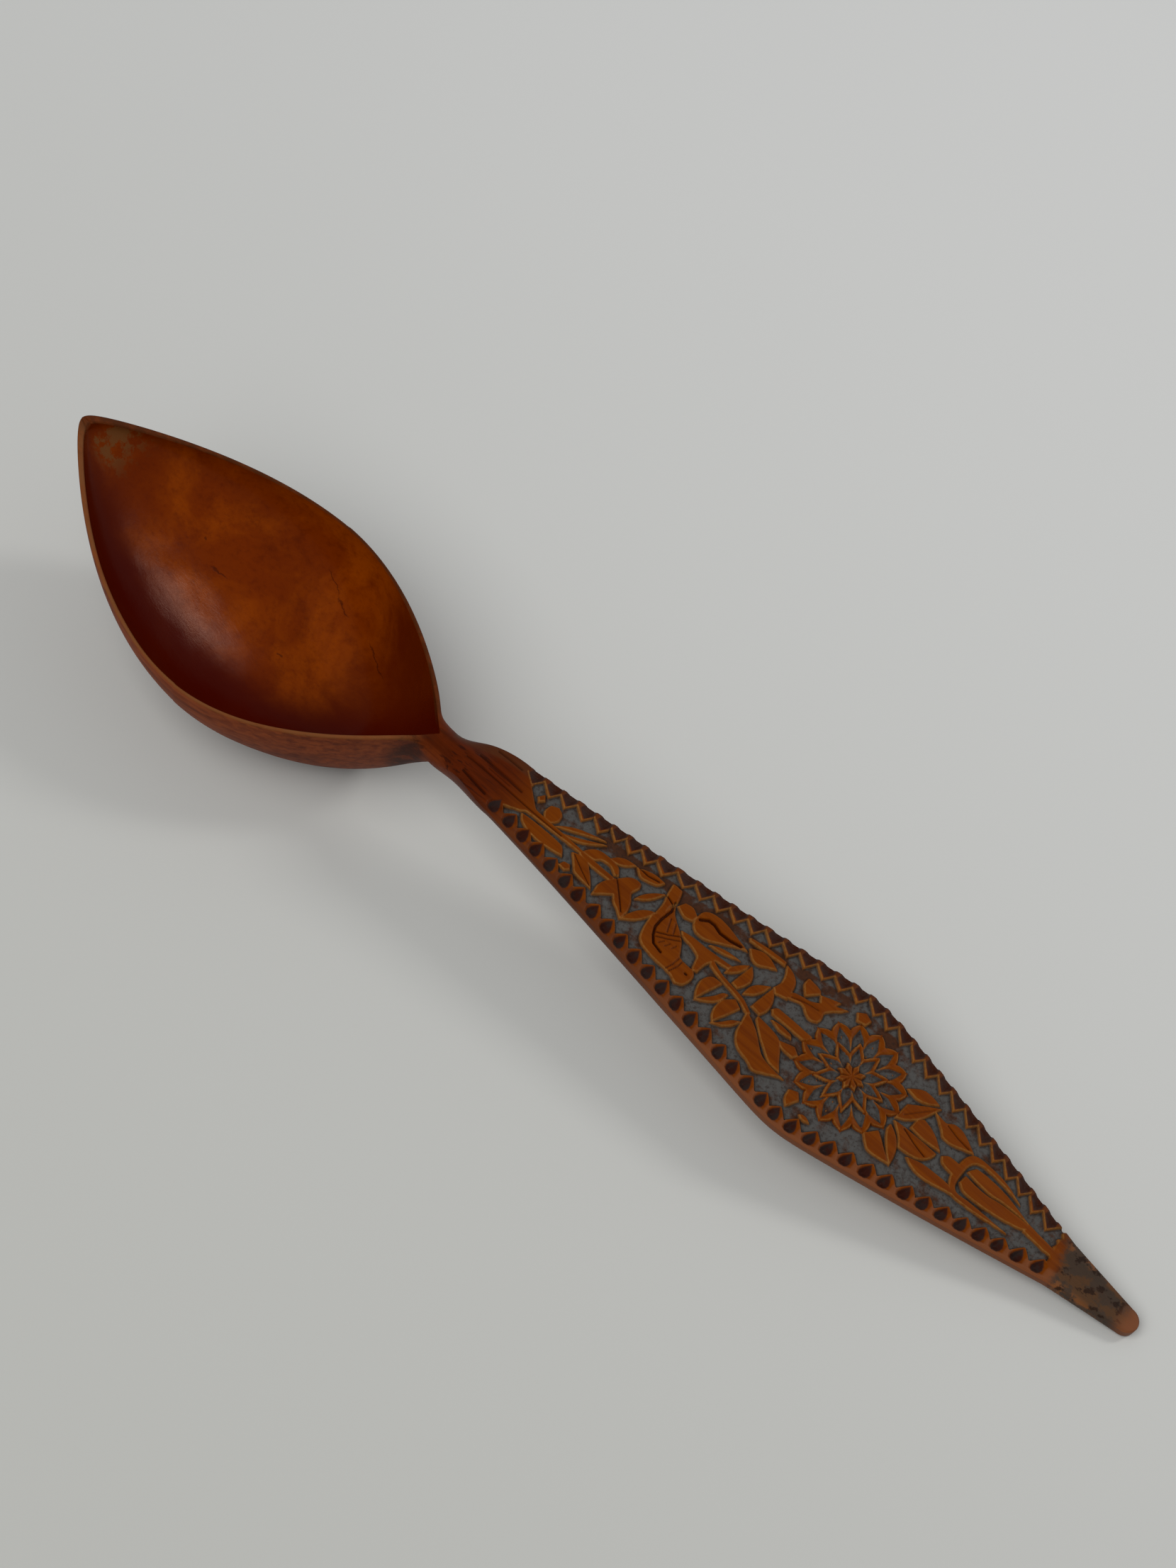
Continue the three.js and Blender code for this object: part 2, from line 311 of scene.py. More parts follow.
def rounded_outline(points, corner=50.0, steps=4):
    """A closed curve through the points, sharp only where it turns by more than the corner angle."""
    points = np.array(points, float)
    before = np.roll(points, 1, 0)
    after = np.roll(points, -1, 0)
    way_out = np.arctan2(*(after - points)[:, ::-1].T)
    way_in = np.arctan2(*(points - before)[:, ::-1].T)
    turn = np.degrees(way_out - way_in)
    sharp = np.abs((turn + 180) % 360 - 180) > corner
    tangent = np.where(sharp[:, None], 0, (after - before) / 2)
    curve = []
    for i in range(len(points)):
        a, b = points[i], after[i]
        ta, tb = tangent[i], tangent[(i + 1) % len(points)]
        chord = np.hypot(*(b - a))
        ta = ta * min(1, chord / (np.hypot(*ta) + 1e-9))
        tb = tb * min(1, chord / (np.hypot(*tb) + 1e-9))
        for t in np.arange(steps) / steps:
            rest = 1 - t
            between_ends = a * (1 + 2 * t) * rest**2 + b * t * t * (3 - 2 * t)
            curve.append(between_ends + ta * t * rest**2 - tb * t * t * rest)
    return np.array(curve)


def segment_distance(x, y, start, end):
    ax, ay = start
    dx, dy = end[0] - ax, end[1] - ay
    t = np.clip(((x - ax) * dx + (y - ay) * dy) / (dx * dx + dy * dy + 1e-12), 0, 1)
    return np.hypot(x - ax - t * dx, y - ay - t * dy)


def outline_depth(x, y, outline):
    """Distance to the outline, positive inside it. Points well outside get a plain negative value."""
    depth = np.full(x.shape, -9.0)
    low, high = outline.min(0) - 1.5, outline.max(0) + 1.5
    near = (x > low[0]) & (x < high[0]) & (y > low[1]) & (y < high[1])
    px, py = x[near], y[near]
    distance = np.full(px.shape, 9.0)
    inside = np.zeros(px.shape, bool)
    for start, end in zip(outline, np.roll(outline, -1, 0)):
        distance = np.minimum(distance, segment_distance(px, py, start, end))
        crosses = (start[1] > py) != (end[1] > py)
        rise = end[1] - start[1]
        rise = rise if abs(rise) > 1e-12 else 1e-12
        inside ^= crosses & (px < (end[0] - start[0]) * (py - start[1]) / rise + start[0])
    depth[near] = np.where(inside, distance, -distance)
    return depth


# The wood left standing in the sunk field: outlines in the plan of the handle's face.
RELIEF = {
    "plain neck": [
        (-20, -14), (17, -14), (16.6, -5.6), (17.8, -3.9), (21.4, -2.2), (22.6, -1.3), (30, -0.85),
        (36.5, -0.5), (36.5, 0.25), (30, 0.35), (24.6, 0.4), (23.4, 0.7), (19.7, 3.9), (19.8, 4.2),
        (19.4, 9), (17, 14), (-20, 14),
    ],
    "long leaf": [
        (22.1, -2.2), (24, -1.95), (28.5, -1.8), (32.5, -2), (33.9, -3.7), (31.2, -4.3), (28.4, -4.7),
        (25.5, -4.4), (23.1, -3.5),
    ],
    "berry": [(22.1, 3.1), (22.9, 4.4), (23.8, 3.3), (22.9, 2.2)],
    "bud": [(25.1, 1.6), (25.3, 3.4), (26.8, 4.2), (28.3, 3.3), (28.6, 1.6), (27.6, 0.2), (26.1, 0.2)],
    "upper sprig": lens((28.4, 0.2), (38.4, 5.4), 0.9, 0.1),
    "lower sprig": lens((30.5, 0.1), (39.0, 4.9), -0.1, 1.1),
    "arch": [
        (36.2, 0), (36.9, 1.5), (38.3, 2.7), (40.3, 3.1), (42.4, 3), (43.9, 2.6), (44.9, 1.3),
        (44.2, 0.7), (42.9, 1.5), (41.6, 1.7), (40.2, 1.4), (39.1, 0.3),
    ],
    "stem": [(36, 0.3), (44.6, 0.2), (44.6, -0.9), (38.4, -1.2), (36, -0.7)],
    "near leaf": [
        (34.9, -1.5), (36.7, -3.4), (38.1, -4.7), (42.6, -5.1), (41.5, -3.7), (39.8, -2), (38.4, -0.6),
        (36.4, -0.8),
    ],
    "thumb leaf": [(34.6, -5.6), (35, -4.3), (36.3, -4), (37, -4.9), (36.2, -5.8)],
    "top leaf": lens((41.2, 2.9), (46.2, 5.7), 0.9, 0.9),
    "curled leaf": [
        (46.4, 5.6), (48.1, 6.3), (50.2, 6.9), (52.7, 6.9), (51.9, 5.4), (50.1, 4.6), (48.2, 4.3),
    ],
    "lily leaf": [
        (45.4, 1.1), (46.7, 2.7), (48, 3.3), (49.3, 3.2), (49.7, 2.1), (49.2, 0.2), (50.3, -1.4),
        (51.1, -3.6), (50.9, -6), (49.3, -4.8), (47.9, -4.1), (46.7, -2.8), (45.5, -3.9), (43.5, -5.7),
        (43.1, -3.4), (43.4, -2), (44, -0.8),
    ],
    "bird tail leaf": lens((50.4, -0.2), (54.4, 5.2), 0.7, 0.7),
    "breast leaf": lens((55.3, 0.4), (50.9, -6), 0.9, 1.1),
    "tail": [
        (54, 8.1), (54.5, 5.5), (55.2, 3), (55.3, 0.2), (56.9, 1), (56.6, 3.5), (57.2, 5.4),
        (56.3, 8.1),
    ],
    "bird": [
        (55.2, -0.3), (55.4, -2.8), (56, -5.2), (56.7, -6.4), (58.2, -7.2), (61, -7.7), (64, -7.8),
        (66, -8.1), (67.6, -8.8), (69, -7.9), (69.5, -6.5), (69.5, -5), (68.7, -4.1), (67, -4),
        (65, -3.7), (64.2, -2.5), (63, -0.7), (61.5, 0.7), (60, 1.7), (58.2, 3.2), (57.2, 4.9),
        (56.4, 2),
    ],
    "beak vine": [
        (68.3, -4.2), (67.8, -2.4), (67.2, -0.9), (65, -0.1), (62.5, 0.3), (61.5, 1.2), (64, 1.7),
        (68, 1.9), (73.9, 2.5), (73.5, 1.4), (70.6, 0.9), (69.6, -1.2), (69.4, -3.6),
    ],
    "vine": [
        (69.5, 1.3), (71, 0.5), (74, -0.5), (77.7, -1), (80.3, -1.6), (82.8, -2.9), (82.2, -3.6),
        (79.6, -2.5), (77, -1.9), (73.5, -1.4), (70.5, -0.5),
    ],
    "tulip": [
        (62, 5.2), (62.2, 7.5), (63.2, 8.5), (65.5, 9), (68, 8.8), (70, 8.4), (72, 7.9), (74, 7.4),
        (72.5, 6.8), (70.5, 5.5), (68.5, 4.3), (66.5, 3.2), (65, 2.9), (63.5, 3.1), (62.5, 3.9),
    ],
    "tulip bud": [(57.7, 4.9), (58.4, 6.5), (60.3, 6.8), (62, 5.8), (61.8, 4.4), (60, 3.9)],
    "thin leaf": lens((67.6, 2.9), (74.3, 4.7), 0.55, 0.45),
    "lens leaf": [
        (73.9, 8.3), (76.5, 9.6), (78.7, 9.4), (80.9, 8.5), (79.2, 7.5), (77.2, 6.4), (75.5, 6.8),
    ],
    "ledge": [(72.5, 10.2), (76.5, 11), (81.2, 11.3), (81.4, 10.4), (76.8, 9.9), (73, 9.6)],
    "crescent": [
        (81.7, 10.9), (83.7, 10.4), (85.2, 9.2), (85.8, 7.6), (86.2, 5), (83.7, 4.1), (82.6, 5.1),
        (83.1, 6.6), (82.9, 8.4),
    ],
    "split leaf 1a": [(76.2, 5.3), (74.6, 3.7), (73.6, 2), (73.5, 0.4), (75.2, 1.9), (76.1, 3.8)],
    "split leaf 1b": [
        (76.7, 5.5), (78.1, 4), (78.6, 2.4), (78.1, 0.6), (77.4, -0.6), (75.9, -0.3), (76.2, 2),
    ],
    "split leaf 2a": [(82.2, 4.8), (80, 3.1), (79.1, 1.5), (79, -0.6), (80.7, 0.7), (81.8, 2.8)],
    "split leaf 2b": [
        (82.7, 4.8), (83.9, 3.5), (84.7, 1.7), (84.8, -0.1), (84.2, -1.8), (81.8, -1.5), (82.2, 1.2),
    ],
    "split leaf 3a": [
        (72.5, -2.1), (74.7, -1.9), (74.1, -3.8), (73.3, -6), (72.6, -8.4), (71.6, -6.8), (71.1, -4.5),
        (71.6, -2.9),
    ],
    "split leaf 3b": [
        (72.6, -8.6), (75.1, -7.1), (76.6, -5.2), (77, -2.9), (76, -3.4), (75.1, -5.1), (73.7, -7),
    ],
    "split leaf 4a": [
        (78.7, -2.6), (80.6, -3.6), (79.9, -5.7), (78.9, -8), (78.2, -9.9), (77.1, -8.6), (76.6, -6.5),
        (77, -4.4),
    ],
    "split leaf 4b": [(78, -10.2), (80.3, -9.1), (81.8, -7.3), (82.3, -5.7), (80.8, -6.8), (79.2, -9)],
    "drop": [(86.7, 11.9), (89.9, 11.5), (90.5, 10.8), (88.4, 8.3), (86.7, 10.2)],
    "flower": [
        (84.1, 4.6), (86.2, 7), (87.8, 7.6), (89.9, 8.1), (91.6, 9.2), (90.6, 10.7), (92.5, 11.5),
        (94.7, 12.3), (94.2, 10.9), (96.8, 12.1), (95.7, 10.6), (94.4, 9.3), (93.6, 8), (93.9, 6.6),
        (93.7, 5.4), (92.6, 4.8), (91.2, 5), (89.1, 6.2), (86.9, 5.5),
    ],
    "bar": [(85.3, 1.1), (86.2, 2.1), (94.9, 2.1), (95.2, 0.3), (86, 0.2)],
    "bar foot": [(86.6, -0.8), (88.6, -0.4), (91.4, -0.6), (92, -1.3), (89, -1.6)],
    "small leaf": [(90.2, -3.3), (93.6, -2.1), (95.3, -3.2), (94.6, -4.3), (91.8, -4.3)],
    "broad leaf 1": [
        (84.2, -2.2), (87.3, -2.4), (90.1, -3), (91.8, -4.7), (93, -6.6), (94.6, -8.7), (92, -8.6),
        (89.8, -7.3), (87.3, -5.6), (84.4, -3.1),
    ],
    "broad leaf 2": [
        (81.9, -2.9), (82.5, -5.3), (83, -7.9), (84.4, -10), (86, -10.9), (88, -11.3), (90.4, -12.2),
        (92.5, -11.2), (94.6, -9.9), (96.2, -9.2), (93.6, -9.1), (90.2, -8.5), (88.3, -7.1),
        (85.6, -4.8),
    ],
    "far rosette leaf": [(98.3, 13.2), (99.8, 14.3), (101.6, 13.6), (101.2, 12), (99.3, 11.6)],
    "near rosette leaf": [(98.2, -10), (100, -9.2), (101.2, -10.6), (99.8, -13.4), (98.6, -12)],
    "dash": lens((102.9, -12.8), (105.6, -12.9), 0.5, 0.5),
    "spear leaf": [(115.6, 7.4), (118.6, 9.6), (122.6, 9.2), (121, 7.9), (118.4, 6.9)],
    "side leaf": [
        (117.4, 0.7), (117.6, 4.8), (118.8, 5.7), (121, 7.3), (123.3, 8.9), (122.5, 6.7), (121.8, 4.8),
        (120.7, 3.1), (119.1, 1.5),
    ],
    "stalked leaf": [
        (122.9, 7.5), (125.6, 7.1), (127.1, 8.1), (129.3, 8.1), (131.6, 7.1), (133.8, 5.8), (131.6, 5),
        (129.1, 4.1), (127.1, 4.1), (125.7, 5.3), (124, 6.6),
    ],
    "inner leaf": [
        (121.1, 3.4), (122.1, 4.5), (124.3, 4), (126.5, 2.9), (128.4, 1.3), (124.3, 0.9), (121, 1.2),
    ],
    "fan leaf": [
        (117.6, 0.1), (120.2, 0.4), (128.1, 0.4), (127.8, -1.1), (126.8, -2.5), (125.2, -3.5),
        (121.6, -4), (120.4, -2.4), (119.1, -1.1),
    ],
    "near spear": [
        (117.6, -1.1), (119.6, -2.2), (121.3, -4.1), (122.1, -6.1), (122.5, -8.4), (120.6, -6.6),
        (119, -4.7), (117.6, -2.4),
    ],
    "border leaf": [
        (114.6, -6.6), (116.6, -4), (118.3, -5.2), (120.2, -6.7), (122.3, -8.3), (118.8, -9),
        (117, -8.8),
    ],
    "long near leaf": [
        (124, -4.4), (127.1, -3.3), (133.5, -3), (135.8, -4.1), (131, -5.4), (128.2, -5.8),
        (125.6, -5.3),
    ],
    "stalk bud": [(129.2, 0.9), (130.4, 1.9), (133.9, 2), (133.9, -0.9), (130.2, -0.3)],
    "sheath": [
        (132.8, 2), (133.1, 4.3), (134.1, 5.7), (136, 6.1), (139.6, 6), (142.4, 5.6), (144.6, 4.9),
        (147, 3.9), (143.5, 4.6), (140.2, 5), (137.1, 5.1), (135.4, 4.5), (134.5, 3.1), (134.4, 0.2),
        (134.8, -2.2), (136, -3.2), (138.8, -3), (148.3, -2.9), (143.8, -3.7), (141, -4.1),
        (137.1, -4.4), (134.8, -4.1), (133.7, -2.8), (132.9, -1),
    ],
    "upper petal": [
        (135.1, 1.9), (135.2, 2.4), (136, 3.8), (138.2, 4), (142.4, 3.8), (146.6, 3), (151, 1.8),
        (147, 1.9), (143.5, 1.7), (141.2, 1.3), (137.7, 1.5),
    ],
    "lower petal": [
        (135.3, 1), (138.2, 0.7), (141, 0.7), (143.8, 1.3), (150.4, 1.7), (151.3, 1.2), (150.2, 0.1),
        (147.9, -0.7), (143.8, -1.6), (139.6, -2.1), (136.6, -2), (135.1, -0.9),
    ],
    "end stalk": [
        (150.4, 2), (154.9, 1.5), (158.5, 1.3), (163, 3.4), (163, -3.2), (159.2, -0.6), (155.2, -0.4),
        (150.6, 0),
    ],
}

# Cuts into the standing wood: a polyline, its width and its depth.
CUTS = [
    ([(8, 1.7), (13, 1.6), (19, 1.4)], 0.9, 0.35),
    ([(6, -0.3), (15, -0.4), (24, -0.5), (31, -0.4)], 0.5, 0.3),
    ([(7.6, -3.3), (10.5, -3.9), (14, -4.4)], 0.9, 0.45),
    ([(10, 5.1), (13, 5.2), (16, 5.3)], 0.7, 0.3),
    ([(11, 0.6), (16.5, 0.5)], 0.4, 0.2),
    ([(44.5, 1.1), (46, -0.3), (47.7, -2), (50.2, -4.6)], 0.45, 0.4),
    ([(35.6, -1.6), (38.6, -3.2), (42, -4.8)], 0.35, 0.3),
    ([(46.9, 5.8), (49.2, 5.6), (51.6, 6.2)], 0.6, 0.4),
    ([(53.7, 5.4), (57.3, 4.1)], 0.45, 0.5),
    ([(57, 5), (57.5, 3), (57.1, 0), (57.2, -2), (58, -3.7), (59.2, -5.1), (61.4, -5.6)], 0.7, 0.75),
    ([(58.5, 1.6), (59.7, -1.3)], 0.35, 0.35),
    ([(59.9, 1.5), (61, -0.9)], 0.35, 0.35),
    ([(57.9, -2.9), (60.2, -1.6), (62.4, 0)], 0.4, 0.4),
    ([(58.4, -3.7), (60.8, -2.3), (63, -0.8)], 0.35, 0.35),
    ([(59.8, -4.3), (60.5, -3.2)], 0.3, 0.3),
    ([(61.2, -4), (61.8, -2.8)], 0.3, 0.3),
    ([(62.6, -3.4), (63, -2.3)], 0.3, 0.3),
    ([(65, -3.9), (64.9, -5.8), (64.3, -7.7)], 0.35, 0.35),
    ([(66, -4), (65.8, -5.9), (65.1, -7.8)], 0.35, 0.35),
    ([(67.9, -5.7), (68.2, -5.7)], 0.7, 0.5),
    ([(62.8, 5.8), (64.2, 6.9), (65.7, 7), (67.6, 6.4), (70, 6.6), (72.4, 7.2)], 0.9, 0.75),
    ([(120.2, 0), (123.4, -1.1), (126.6, -1.9)], 0.4, 0.35),
    ([(126.4, 6.9), (129.6, 6.1), (132.4, 5.8)], 0.4, 0.3),
    ([(118.4, 2.4), (120.4, 5), (122.5, 7.6)], 0.35, 0.25),
    ([(86.6, 6), (89.8, 7.2), (92.3, 7.6)], 0.4, 0.3),
]

# Petal rings of the rosette, from the outermost: count, radius where the petals part, radius of their
# tips, half width where they part, pointedness and height.
PETAL_RINGS = [
    (16, 9.9, 11.9, 1.95, 1.7, -0.1),
    (10, 4.7, 8.1, 1.6, 1.25, 0.02),
]
# The hollow in each petal of a ring: where it is widest, where it ends, its half width and its depth.
PETAL_HOLLOWS = [(8.2, 11.2, 1.4, 0.7), (4.2, 7.0, 1.2, 0.7)]
HOLLOW_SLOPE = 0.55           # width of the slope into a hollow
PETAL_FALL = 0.4              # the middle of a petal lies this much lower than the ridges beside it
HEART_PETALS = 8
HEART_WIDEST = 2.0            # the petals of the heart are widest at this radius
HEART_RADIUS = 3.3            # and end at this one


def jittered_index(x, first, pitch, count, seed, lean=0.0):
    """The nearest tooth of a border: how far along from its point, its random size, and if it exists."""
    rng = np.random.default_rng(seed)
    shift = rng.uniform(-0.25, 0.25, count)
    size = rng.uniform(-1, 1, count)
    index = np.round((x - first) / pitch + lean).astype(int)
    present = (index >= 0) & (index < count)
    index = np.clip(index, 0, count - 1)
    return x - first - index * pitch - shift[index], size[index], present


def pyramid_pit(along, inward, base, apex):
    """Share of full depth: 1 at the apex, and 0 on and outside the convex base, given counter-clockwise."""
    share = np.full(along.shape, 9.0)
    for (ax, ay), (bx, by) in zip(base, base[1:] + base[:1]):
        reach = (bx - ax) * (apex[1] - ay) - (by - ay) * (apex[0] - ax)
        here = (bx - ax) * (inward - ay) - (by - ay) * (along - ax)
        share = np.minimum(share, here / reach)
    return np.clip(share, 0, 1)


def near_border(x, inward):
    """Standing depth, pits, soot and worn band of the row of pointed teeth along the near edge."""
    along, size, present = jittered_index(x, NEAR_FIRST, NEAR_PITCH, NEAR_TEETH, SEED)
    peak = NEAR_PEAK + 0.15 * size
    rise = np.clip((inward - NEAR_ROOT) / (peak - NEAR_ROOT), 0, 1)
    half = 0.5 * NEAR_PITCH * (1 - rise) ** 0.85
    standing = np.minimum(half - np.abs(along), (peak - inward))
    standing = np.where(inward < NEAR_ROOT, NEAR_ROOT - inward + 0.3, standing)
    base = [(-0.75, 0.45), (0.85, 0.45), (1.65, 0.95), (1.95, 1.9), (1.62, 2.8), (0.05, 4.55),
            (-1.62, 2.8), (-1.92, 1.9), (-1.58, 0.95)]
    pit = pyramid_pit(along, inward, base, (-0.5, 1.95)) * present
    drop = [(-0.75, 0.55), (0.45, 0.55), (1.02, 1.1), (1.2, 2.0), (0.9, 3.0), (0, 4.5), (-1.22, 3.0),
            (-1.62, 2.0), (-1.4, 1.1)]
    soot = smooth(pyramid_pit(along, inward, drop, (-0.25, 2.0)), 0.02, 0.26) * present
    between = smooth(np.abs(along), 1.25, 1.7) * smooth(inward, 3.4, 2.4) * smooth(x, 15, 17)
    band = np.maximum(smooth(inward, 1.15, 0.75), 0.8 * between)
    return standing, pit * (1 + 0.12 * size), soot, band


def far_border(x, inward):
    """Standing depth, pits, soot and crest of the zigzag ridge along the far edge."""
    place, reach, drift = FAR_DRIFT
    drifted = x + drift * np.exp(-(((x - place) / reach) ** 2))
    along, size, present = jittered_index(drifted, FAR_FIRST, FAR_PITCH, FAR_TEETH, SEED + 1, FAR_LEAN)
    along = along / np.where(along < 0, 1 + 2 * FAR_LEAN, 1 - 2 * FAR_LEAN)
    slope = (FAR_POINT - FAR_TOP) / (FAR_PITCH / 2)
    ridge = FAR_POINT + 0.22 * size - slope * np.abs(along)
    standing = (ridge - inward) * 0.72
    inner = FAR_POINT - 1.4 * RIDGE_WIDTH
    base = [(-1.35, -0.6), (1.5, -0.6), (1.75, 1.35), (0.05, inner), (-1.7, 1.35)]
    pit = pyramid_pit(along, inward, base, (0.1, 0.9)) * present
    from_crest = np.abs(ridge - 0.5 * RIDGE_WIDTH - inward)
    crest = smooth(from_crest, 1.1 * RIDGE_WIDTH, 0.4 * RIDGE_WIDTH)
    return standing, pit * (1 + 0.12 * size), smooth(pit, 0.0, 0.14), crest * present


def petal_coordinates(dx, dy, count):
    """Distance out along the nearest petal, and distance across from its middle line."""
    spacing = 2 * np.pi / count
    local = (np.arctan2(dy, dx) - np.radians(ROSETTE_TURN) + spacing / 2) % spacing - spacing / 2
    radius = np.hypot(dx, dy)
    return radius * np.cos(local), np.abs(radius * np.sin(local))


def rosette(x, y):
    """Height of the rosette, how deep each point stands inside its outline, and its hollows."""
    dx, dy = x - ROSETTE_CENTRE[0], y - ROSETTE_CENTRE[1]
    radius = np.hypot(dx, dy)
    height = np.full(x.shape, -0.6)
    hollow = np.zeros(x.shape)
    standing = 9.5 - radius
    for ring, pit in zip(PETAL_RINGS, PETAL_HOLLOWS):
        count, parting, tip, width, pointedness, top = ring
        widest, pit_end, pit_width, depth = pit
        middle, across = petal_coordinates(dx, dy, count)
        past = np.clip((middle - parting) / (tip - parting), 0, 1)
        edge = np.minimum(middle * np.tan(np.pi / count), width * (1 - past**pointedness))
        inside = np.minimum(edge - across, 0.7 * (tip - middle))
        pit_past = np.clip((middle - widest) / (pit_end - widest), 0, 1)
        share = np.clip((pit_width * (1 - pit_past**1.2) - across) / HOLLOW_SLOPE, 0, 1)
        towards_ridge = np.clip(across / np.maximum(edge, 0.4), 0, 1)
        petal = top - depth * share - PETAL_FALL * (1 - towards_ridge)
        petal -= 0.35 * (1 - smooth(inside, 0, 0.2)) * smooth(past, 0, 0.1)
        height = np.where(inside > 0, petal, height)
        hollow = np.where(inside > 0, share, hollow)
        standing = np.maximum(standing, inside)
    middle, across = petal_coordinates(dx, dy, HEART_PETALS)
    widening = np.clip(middle / HEART_WIDEST, 0, 1)
    narrowing = np.clip((middle - HEART_WIDEST) / (HEART_RADIUS - HEART_WIDEST), 0, 1)
    inside = 0.12 + 0.58 * widening - 0.75 * narrowing - across
    heart = smooth(inside, -0.06, 0.2)
    in_heart = (inside > -0.06) | (middle < HEART_WIDEST)
    height = np.where(in_heart, lerp(-0.5, 0.05, heart), height)
    hollow = np.where(in_heart, 0, hollow)
    return height, standing, hollow


def relief(x, y):
    """Depth of standing wood at each point of the handle's face."""
    standing = np.full(x.shape, -9.0)
    for outline in RELIEF.values():
        standing = np.maximum(standing, outline_depth(x, y, rounded_outline(outline)))
    return standing


def cut_depth(x, y):
    depth = np.zeros(x.shape)
    for route, width, deepest in CUTS:
        for start, end in zip(route, route[1:]):
            share = 1 - segment_distance(x, y, start, end) / (width / 2)
            depth = np.maximum(depth, deepest * np.clip(1.25 * share, 0, 1))
    return depth


def carve(x, y, half):
    """Carved height of the handle's face, with the layers that its material uses."""
    far = half - y
    near = half + y
    near_standing, near_pit, near_soot, band = near_border(x, near)
    far_standing, far_pit, far_soot, ridge = far_border(x, far)
    border = np.maximum(near_standing, far_standing)
    rosette_height, rosette_standing, hollow = rosette(x, y)
    motif = relief(x, y)
    standing = np.maximum(np.maximum(motif, border), rosette_standing)
    wobble = 0.07 * value_noise(x, y, 0.9, SEED + 2) + 0.05 * value_noise(x, y, 2.6, SEED + 3)
    standing = np.maximum(standing, x - FIELD_END + 8 * wobble) + 0.5 * wobble
    wood = smooth(standing, -WALL_WIDTH, 0.06)
    worn = 0.06 * (1 - smooth(standing, 0, 0.25)) + 0.04 * (1 + value_noise(x, y, 3.1, SEED + 4))
    in_rosette = rosette_standing > np.maximum(motif, border)
    cuts = cut_depth(x, y)
    top = np.where(in_rosette, rosette_height, -worn) - cuts
    ground = -GROUND_DEPTH - 1.6 * wobble
    height = lerp(ground, top, wood)
    height -= NEAR_PIT_DEPTH * near_pit + FAR_PIT_DEPTH * far_pit
    height -= 0.25 * np.exp(-((np.minimum(near, far) / 0.35) ** 2)) * smooth(x, *CARVING_FADES_IN)
    in_field = smooth(x, FIELD_END + 1, FIELD_END - 1)
    beside_far_border = smooth(far, 6.8, 5.2) * smooth(far, 3.0, 3.7)
    sunk = (1 - wood) * smooth(x, 17, 20)
    layers = {
        "ground": np.maximum(sunk, 0.95 * in_rosette * smooth(hollow, 0.1, 0.5)),
        "cut": smooth(cuts, 0.12, 0.4),
        "crest": wood * smooth(standing, 0.3, 0.06) * (1 - in_rosette) * in_field,
        "pit": np.maximum(near_soot, 0.8 * far_soot),
        "far_edge": beside_far_border * smooth(x, 32, 40) * smooth(x, 118, 106),
        "band": band,
        "ridge": ridge * wood,
        "stain": smooth(far, 2.8, 1.9),
    }
    return height, layers


# ---------------------------------------------------------------- meshes

def floor_level():
    x = np.linspace(-BOWL_LENGTH, 0, 201)
    return (underside_height(x) * np.cos(RESTING_TILT) - x * np.sin(RESTING_TILT)).min() + WORN_FLAT_DEPTH


def lay_down(x, y, z):
    """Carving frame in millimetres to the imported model's frame in metres, worn flat where it rests."""
    along = x * np.cos(RESTING_TILT) + z * np.sin(RESTING_TILT)
    up = z * np.cos(RESTING_TILT) - x * np.sin(RESTING_TILT) - floor_level()
    shift = 1000 * cad_box[1].x - HANDLE_LENGTH * np.cos(RESTING_TILT)
    return np.stack([along + shift, y, np.maximum(up, 0)], -1) / 1000


def crowded(start, end, count):
    """Stations between two places, close together at the first one."""
    return start + (end - start) * (1 - np.cos(np.pi / 2 * np.linspace(0, 1, count)))


def ring_mesh(name, x, y, z, layers, material):
    """A closed mesh from rings of points, one ring per row, capped at both ends."""
    rings, size = y.shape
    points = lay_down(np.broadcast_to(x[:, None], y.shape), y, z)
    index = np.arange(rings * size).reshape(rings, size)
    here, after = index, np.roll(index, -1, 1)
    quads = np.stack([here[:-1], after[:-1], after[1:], here[1:]], -1).reshape(-1, 4)
    mesh = bpy.data.meshes.new(name)
    caps = [index[0][::-1].tolist(), index[-1].tolist()]
    mesh.from_pydata(points.reshape(-1, 3).tolist(), [], quads.tolist() + caps)
    mesh.polygons.foreach_set("use_smooth", [True] * len(quads) + [False] * 2)
    carving = mesh.attributes.new("carving", "FLOAT_VECTOR", "POINT")
    place = np.stack([np.broadcast_to(x[:, None], y.shape), y, z], -1)
    carving.data.foreach_set("vector", place.astype(np.float32).ravel())
    for key, values in layers.items():
        layer = mesh.attributes.new(key, "FLOAT", "POINT")
        layer.data.foreach_set("value", values.astype(np.float32).ravel())
    edges = np.zeros(2 * len(mesh.edges), int)
    mesh.edges.foreach_get("vertices", edges)
    ring = edges.reshape(-1, 2) // size
    around_cap = (ring[:, 0] == ring[:, 1]) & ((ring[:, 0] == 0) | (ring[:, 0] == rings - 1))
    sharp = mesh.attributes.new("sharp_edge", "BOOLEAN", "EDGE")
    sharp.data.foreach_set("value", around_cap)
    mesh.materials.append(material)
    mesh.validate()
    obj = bpy.data.objects.new(name, mesh)
    bpy.context.collection.objects.link(obj)
    return obj


def whittled(x, angle):
    """Faint flats that the knife left along the underside."""
    broad = value_noise(x / 9, 4.5 * angle, 1.0, SEED + 5)
    fine = value_noise(x, 9 * angle, 1.7, SEED + 6)
    return 0.12 * broad + 0.05 * fine


